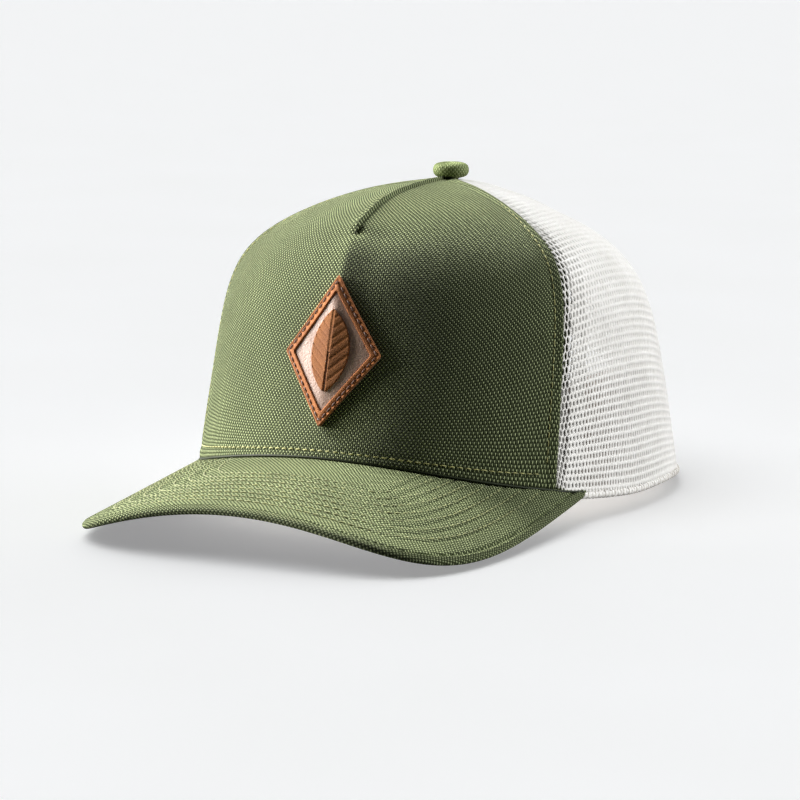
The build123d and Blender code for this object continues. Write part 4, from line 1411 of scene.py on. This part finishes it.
def make_visor():
    """Top cloth wrapped round the edge, under cloth, and the stitch rows on both."""
    top = visor_sheet("visor_top_cloth", 0, 0, 0.55, True)
    finish_piece(top, visor_canvas, "green_cloth", "visor_top_cover")
    under = visor_sheet("visor_under_cloth", 1.6, VISOR_THICKNESS - 0.6, VISOR_THICKNESS - 0.1, False)
    finish_piece(under, under_cloth, "under_visor_cloth", "visor_under_cover")
    upper = stitches("visor_stitches", visor_rows(0.12), *VISOR_STITCH)
    finish_piece(upper, olive_thread, "olive_thread", "visor_stitching")
    lower = stitches("visor_under_stitches", visor_rows(VISOR_THICKNESS - 0.15, True), *UNDER_STITCH)
    finish_piece(lower, pale_thread, "under_visor_cloth")


# ------------------------------------------------------------------ topstitching of the front


def make_front_stitches():
    """Topstitching beside both front seams and above the visor."""
    t = np.linspace(0.03, 0.95, 500)
    azimuth = np.linspace(3.6 - FRONT_SEAM, FRONT_SEAM - 3.6, 700)
    lines = [(beside(front_seam, -2.7)(t), t), (beside(mirrored(front_seam), 2.7)(t), t),
             (azimuth, np.full(700, 0.0175))]
    rows = [(layer_point(a, t, np.full(len(t), 0.05)), crown_normal(a, t)) for a, t in lines]
    piece = stitches("front_stitches", rows, *FRONT_STITCH)
    finish_piece(piece, seam_thread, "olive_thread", "front_topstitching")


# ------------------------------------------------------------------ the patch

PATCH_TOP = crown_point(0, 0.53)[2]
PATCH_BOTTOM = crown_point(0, 0.07)[2]
PATCH_SIDE_X, _, PATCH_SIDE_Z = crown_point(10.9, 0.27)
PATCH_BORDER, PATCH_STITCH_INSET = 3.1, 1.2
PATCH_MIDDLE = (PATCH_TOP + PATCH_BOTTOM) / 2
LEAF_HEIGHT, LEAF_WIDTH, VEIN_WIDTH = 29.0, 14.5, 0.9


def diamond(inset, rounding, step=0.6):
    """The patch outline, drawn in by an inset on every side, anticlockwise."""
    corners = np.array([(0, PATCH_TOP), (-PATCH_SIDE_X, PATCH_SIDE_Z), (0, PATCH_BOTTOM),
                        (PATCH_SIDE_X, PATCH_SIDE_Z)])
    moved = []
    for before, here, after in zip(np.roll(corners, 1, 0), corners, np.roll(corners, -1, 0)):
        first, second = unit(here - before), unit(after - here)
        inward_first = np.array([-first[1], first[0]])
        inward_second = np.array([-second[1], second[0]])
        spread = 1 + inward_first @ inward_second
        moved.append(here + (inward_first + inward_second) / spread * inset)
    return dense_loop(moved, step, rounding)


def leaf_loop():
    """Two arcs that meet in points, with an open midrib in the lower half."""
    half, wide, vein = LEAF_HEIGHT / 2, LEAF_WIDTH / 2, VEIN_WIDTH / 2
    radius = (half**2 + wide**2) / (2 * wide)
    z = np.linspace(-half, half, int(LEAF_HEIGHT / 0.5))
    x = np.sqrt(radius**2 - z**2) - (radius - wide)
    right = np.stack([x, z + PATCH_MIDDLE], -1)
    left = np.stack([-x[::-1], z[::-1] + PATCH_MIDDLE], -1)
    start = np.argmax(x > vein)
    share = np.linspace(0.0, 1, 12)
    slot = np.stack([vein * (1 - share**2 * 0.4), PATCH_MIDDLE - 0.5 - half * 0.9 * (1 - share)], -1)
    return np.concatenate([right[start:], left[1:len(x) - start], slot * (-1, 1), slot[::-1]])


def veins(points):
    """Grooves of the leaf: side veins that climb outwards, and the midrib of its upper half."""
    x, z = np.abs(points[:, 0]), points[:, 1] - PATCH_MIDDLE
    to_vein = (z - 0.9 * x + 20) % 3.6 - 1.8
    grooves = 0.22 * bell(to_vein, 0, 0.34) * smooth_step(x, 0.5, 1.2)
    return -grooves - 0.25 * bell(x, 0, 0.34) * (z > -1)


def border_rim(points):
    """The patch border is pressed down along its row of stitches."""
    gap = np.linalg.norm(points[:, None] - diamond(0, 0.9)[None], axis=-1).min(1)
    return 0.1 - 0.3 * bell(gap, PATCH_STITCH_INSET, 0.45)


def cushioned_field(points):
    """The field inside the border is faintly cushioned."""
    x, z = points[:, 0], points[:, 1]
    return 0.1 * np.cos(x / 6.5) * np.cos((z - PATCH_SIDE_Z) / 12) + 0.04 * np.sin(x * 0.9 + z * 0.35)


def make_patch():
    """Backing, border, field and leaf, each bent on the front panel, and the stitches."""
    back = bent_plate("patch_back", [diamond(0.1, 0.9)], front_mapper, depth=-0.95, thickness=0.8,
                      round_edge=0.15, spacing=1.6)
    finish_piece(back, leather_back, "brown_leather", "patch_backing")
    border = bent_plate("patch_border", [diamond(0, 0.9), diamond(PATCH_BORDER, 0.5)[::-1]],
                        front_mapper, depth=-1.75, thickness=0.8, round_edge=0.32, spacing=0.4,
                        relief=border_rim)
    finish_piece(border, suede, "brown_leather", "patch_frame")
    field = bent_plate("patch_field", [diamond(PATCH_BORDER + 0.1, 0.4)], front_mapper, depth=-1.25,
                       thickness=0.35, round_edge=0.1, spacing=0.9, relief=cushioned_field)
    finish_piece(field, smooth_leather, "pale_leather", "patch_inlay")
    leaf = bent_plate("patch_leaf_emblem", [leaf_loop()], front_mapper, depth=-1.85, thickness=0.55,
                      round_edge=0.18, spacing=0.35, relief=veins)
    finish_piece(leaf, emblem_suede, "brown_leather", "patch_leaf")
    line = diamond(PATCH_STITCH_INSET, 0.8, 0.3)
    x, z = np.concatenate([line, line[:2]]).T
    row = (front_mapper(x, z, -1.8), crown_normal(*on_crown(x, z, 0.0, 0)))
    thread = stitches("patch_stitches", [row], *PATCH_STITCH)
    finish_piece(thread, brown_thread, "brown_thread", "patch_stitching")


# ------------------------------------------------------------------ the button

# The button's outline from its gathered underside to its top, as shares of radius and height.
BUTTON_KNOTS = ((0.40, -0.16), (0.42, -0.04), (0.60, 0.0), (0.84, 0.08), (0.97, 0.27), (1.0, 0.5),
                (0.95, 0.74), (0.80, 0.89), (0.52, 0.97), (0.25, 0.995), (0.0, 1.0))
BUTTON_RINGS, BUTTON_RIBS = 46, 54


def make_button():
    """Cloth-covered button: a flat dome gathered underneath, with radial ribs of cloth."""
    low, high = (np.array(corner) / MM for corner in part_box("button_cover"))
    radius, height = (high[0] - low[0]) / 2, high[2] - low[2]
    centre = (low + high) / 2
    line = points_at(np.linspace(0, len(BUTTON_KNOTS) - 1, BUTTON_RINGS),
                     np.arange(len(BUTTON_KNOTS)), np.array(BUTTON_KNOTS))
    for _ in range(3):
        line[1:-1] = (line[:-2] + 2 * line[1:-1] + line[2:]) / 4
    line = line * (radius, height)
    r, z = line.T
    around = BUTTON_RIBS * 6
    angle = np.arange(around) / around * 2 * np.pi
    tangent = unit(np.gradient(line, axis=0))
    rib = 0.19 * (np.abs(np.cos(angle * BUTTON_RIBS / 2)) - 0.5) * smooth_step(r, 0.6, 4.5)[:, None]
    wave = np.sin(np.arange(BUTTON_RINGS) * 1.9)[:, None]
    rib = rib * (1 + 0.25 * wave * np.cos(angle * BUTTON_RIBS))
    out = r[:, None] + tangent[:, 1:2] * rib
    up = z[:, None] - tangent[:, 0:1] * rib
    x, y = centre[0] + out * np.sin(angle), centre[1] - out * np.cos(angle)
    points = np.stack([x, y, low[2] + up], -1)
    faces = ring_faces(BUTTON_RINGS, around)
    faces.append(tuple(range(around))[::-1])
    uv = np.stack(np.broadcast_arrays(angle[None] * radius, run_along(line)[:, None]), -1)
    piece = make_object("button_cloth_cover", points.reshape(-1, 3), faces, uv=uv.reshape(-1, 2))
    finish_piece(weld(piece, 0.005), button_canvas, "green_cloth", "button_cover")


# ------------------------------------------------------------------ the snap closure

STRAP_LOW, STRAP_HEIGHT, STRAP_THICKNESS = 2.2, 16.5, 1.2
STRAP_TIP, STRAP_END, STRAP_ROUND = 19.0, 62.0, 4.0
SNAP_PITCH, SNAP_COUNT, HOLE_RADIUS = 8.6, 7, 2.5
STRAP_MIDDLE = STRAP_LOW + STRAP_HEIGHT / 2
SNAP_X = [(index - 1.5) * SNAP_PITCH for index in range(SNAP_COUNT)]
# Radius and depth along a peg, from its foot over its snap rim to the bottom of its bore.
PEG_PROFILE = ((1.35, 3.35), (1.3, 2.6), (1.42, 2.1), (1.68, 1.75), (1.7, 1.45), (1.5, 1.18),
               (1.15, 1.1), (0.75, 1.12), (0.62, 1.3), (0.6, 2.2), (0.0, 2.25))


def strap_loop(side):
    """Outline of a strap in plan, anticlockwise; its free end is round."""
    top = STRAP_LOW + STRAP_HEIGHT
    r = STRAP_ROUND
    points = [(STRAP_END, STRAP_LOW), (STRAP_END, top)]
    for first, z in ((90, top - r), (180, STRAP_LOW + r)):
        for angle in np.radians(np.linspace(first, first + 90, 10)):
            points.append((r - STRAP_TIP + r * math.cos(angle), z + r * math.sin(angle)))
    loop = dense_loop(points, 0.9)
    return loop if side > 0 else loop[::-1] * np.array([-1.0, 1.0])


def strap_relief(holes):
    """A raised line along both edges of a strap, and a rim round each hole."""

    def relief(points):
        x, z = points[:, 0], points[:, 1]
        gap = STRAP_HEIGHT / 2 - np.abs(z - STRAP_MIDDLE)
        rise = 0.22 * bell(gap, 1.5, 0.45)
        for hole in holes:
            ring = np.hypot(x - hole, z - STRAP_MIDDLE)
            rise = rise + 0.2 * bell(ring, HOLE_RADIUS + 0.9, 0.35)
        return rise

    return relief


def bend_strap(piece, azimuth):
    """Bakes the strap's placement into its mesh; the stretch beside the hinge is not bent."""
    along = unit(crown_point(azimuth + 0.5, 0.05) - crown_point(azimuth - 0.5, 0.05))
    if azimuth > 180:
        along = -along
    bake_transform(piece)


def make_strap(name, body, side, holes, depth, azimuth):
    """One moulded strap, from its sewn root to its round end."""
    loops = [strap_loop(side)] + [hole_loop(x, STRAP_MIDDLE, HOLE_RADIUS) for x in holes]
    band = bent_plate(name, loops, back_mapper, depth, STRAP_THICKNESS, round_edge=0.3, spacing=0.9,
                      relief=strap_relief(holes), strap=True)
    finish_piece(band, plastic, "strap_plastic", body, body + "_tab")
    bend_strap(band, azimuth)


def make_pegs():
    """Hollow pegs with a snap rim, moulded on the inner strap."""
    points, faces = [], []
    angle = np.arange(24) / 24 * 2 * np.pi
    for x in SNAP_X:
        a, t = on_crown(np.array([-x]), np.array([STRAP_MIDDLE]), 0.0, 180)
        base = crown_point(a, t)[0]
        out = crown_normal(a, t)[0]
        side = unit(np.cross(out, (0, 0, 1)))
        up = np.cross(side, out)
        faces += ring_faces(len(PEG_PROFILE), 24, len(points))
        for radius, depth in PEG_PROFILE:
            spoke = side * np.cos(angle)[:, None] + up * np.sin(angle)[:, None]
            points.extend(base - out * depth + spoke * radius)
    pegs = weld(make_object("moulded_snap_pegs", points, faces, "peg_strap"), 0.003)
    finish_piece(pegs, plastic, "strap_plastic", "snap_pegs")


def make_strap_stitches():
    """Two rows of stitches across each strap's root."""
    z = np.linspace(STRAP_LOW + 1.5, STRAP_LOW + STRAP_HEIGHT - 1.5, 60)
    rows = []
    for side in (1, -1):
        for x in (STRAP_END - 2.5, STRAP_END - 6.0):
            a, t = on_crown(np.full(60, side * x), z, 0.0, 180)
            rows.append((layer_point(a, t, np.full(60, -0.1)), crown_normal(a, t)))
    finish_piece(stitches("strap_stitches", rows, *STRAP_STITCH), pale_thread, "white_tape")


# ------------------------------------------------------------------ CAD parts that stay


def dress_cad():
    """Materials for the hidden CAD parts that are shown as they are."""
    for node, material in (("visor_board", board), ("button_core", board), ("button_washer", metal),
                           ("button_rivet", metal)):
        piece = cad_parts[node]
        piece.data.materials.clear()
        piece.data.materials.append(material)


# ------------------------------------------------------------------ floor, light and camera


def make_floor():
    """Wide pale floor just below the cap."""
    size = 40.0
    mesh = bpy.data.meshes.new("floor")
    mesh.from_pydata([(-size, -size, 0), (size, -size, 0), (size, size, 0), (-size, size, 0)], [],
                     [(0, 1, 2, 3)])
    floor = link(bpy.data.objects.new("floor", mesh))
    floor.data.materials.append(floor_material())
    floor.location.z = -0.0006
    floor.visible_diffuse = False
    return floor


def light_only(lamp, pieces):
    """The lamp lights only these pieces."""
    lit = bpy.data.collections.new(lamp.name + "_lit")
    for piece in pieces:
        lit.objects.link(piece)
    lamp.light_linking.receiver_collection = lit


def add_sun(name, azimuth, elevation, strength, softness, colour, pieces):
    """A soft distant light; azimuth 0 comes from the front, positive from the wearer's left."""
    data = bpy.data.lights.new(name, "SUN")
    data.energy, data.angle, data.color = strength, math.radians(softness), colour
    lamp = link(bpy.data.objects.new(name, data))
    a, e = math.radians(azimuth), math.radians(elevation)
    direction = Vector((math.sin(a) * math.cos(e), -math.cos(a) * math.cos(e), math.sin(e)))
    lamp.rotation_euler = direction.to_track_quat("Z", "Y").to_euler()
    light_only(lamp, pieces)


# Strength of the surroundings: on the bright and dim sides, below the floor, and as seen.
WORLD_BRIGHT, WORLD_DIM, WORLD_BELOW, WORLD_SEEN = 0.5, 0.02, 0.06, 0.935
DIM_AZIMUTH = 35
TONED_SLOTS = ("green_cloth", "olive_thread", "brown_leather", "pale_leather", "brown_thread")


def make_world():
    """Pale studio that is dim towards the front left, with a plain background for the camera."""
    world = bpy.data.worlds.new("studio")
    world.use_nodes = True
    tree = world.node_tree
    background = tree.nodes["Background"]
    place = tree.nodes.new("ShaderNodeTexCoord")
    split = tree.nodes.new("ShaderNodeSeparateXYZ")
    tree.links.new(place.outputs["Generated"], split.inputs[0])

    def math_node(operation, *values):
        node = tree.nodes.new("ShaderNodeMath")
        node.operation = operation
        for socket, value in zip(node.inputs, values):
            if isinstance(value, bpy.types.NodeSocket):
                tree.links.new(value, socket)
            else:
                socket.default_value = value
        return node.outputs[0]

    dim_azimuth = math.radians(DIM_AZIMUTH)
    towards = math_node("MULTIPLY_ADD", split.outputs[0], math.sin(dim_azimuth),
                        math_node("MULTIPLY", split.outputs[1], -math.cos(dim_azimuth)))
    dim = tree.nodes.new("ShaderNodeMapRange")
    dim.interpolation_type = "SMOOTHSTEP"
    tree.links.new(towards, dim.inputs["Value"])
    for socket, value in (("From Min", -0.35), ("From Max", 0.55), ("To Min", WORLD_BRIGHT),
                          ("To Max", WORLD_DIM)):
        dim.inputs[socket].default_value = value
    below = math_node("LESS_THAN", split.outputs[2], 0.0)
    lower = math_node("MULTIPLY", dim.outputs[0], math_node("SUBTRACT", 1.0, below))
    lit = math_node("MULTIPLY_ADD", below, WORLD_BELOW, lower)
    seen = tree.nodes.new("ShaderNodeLightPath").outputs["Is Camera Ray"]
    dark = math_node("MULTIPLY", lit, math_node("SUBTRACT", 1.0, seen))
    strength = math_node("MULTIPLY_ADD", seen, WORLD_SEEN, dark)
    tree.links.new(strength, background.inputs["Strength"])
    background.inputs["Color"].default_value = (0.975, 0.985, 1.0, 1)
    bpy.context.scene.world = world


def make_light(floor):
    """A strong key from the wearer's right on the coloured cloth, even light on the white pieces."""
    make_world()
    pieces = [o for o in bpy.context.scene.objects if o.type == "MESH" and o != floor]
    toned = [o for o in pieces if o.get("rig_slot") in TONED_SLOTS]
    white = [o for o in pieces if o not in toned]
    warm, cool = (1.0, 0.985, 0.95), (0.97, 0.98, 1.0)
    # Azimuth, elevation, strength, softness in degrees, colour, and the pieces it lights.
    suns = {
        "key": (-97, 41, 8.2, 20, warm, toned),
        "low_key": (-78, 14, 6.6, 26, warm, toned),
        "rim": (119, 24, 2.0, 18, cool, toned),
        "side": (132, 34, 1.2, 45, cool, pieces),
        "white_fill_left": (62, 26, 2.5, 60, warm, white),
        "white_fill_right": (-75, 26, 2.3, 60, warm, white),
        "floor_top": (-30, 68, 1.6, 60, cool, [floor]),
    }
    for name, values in suns.items():
        add_sun(name, *values)
    data = bpy.data.lights.new("inside_fill", "POINT")
    data.energy, data.shadow_soft_size = 0.2, 0.03
    lamp = link(bpy.data.objects.new("inside_fill", data))
    lamp.location = (0, CROWN_Y * MM, 0.055)
    light_only(lamp, white)


def make_camera():
    """The photograph's viewing angle."""
    data = bpy.data.cameras.new("camera")
    data.sensor_width, data.lens = 36.0, 117.9
    camera = link(bpy.data.objects.new("camera", data))
    camera.location = (0.4269, -0.8786, 0.1902)
    camera.rotation_euler = (math.radians(81.092), 0, math.radians(26))
    bpy.context.scene.camera = camera


bpy.context.scene.view_settings.view_transform = "Standard"
make_camera()
floor = make_floor()
make_front_panel()
make_nets()
make_hems()
make_binding()
make_tapes()
make_sweatband()
make_label()
make_visor()
make_visor_seam_and_shadow()
make_front_stitches()
make_patch()
make_button()
make_strap("snap_strap_with_holes", "hole_strap", 1, SNAP_X, depth=1.7, azimuth=150.3)
make_strap("snap_strap_with_pegs", "peg_strap", -1, [], depth=3.3, azimuth=209.7)
make_pegs()
make_strap_stitches()
dress_cad()
make_light(floor)
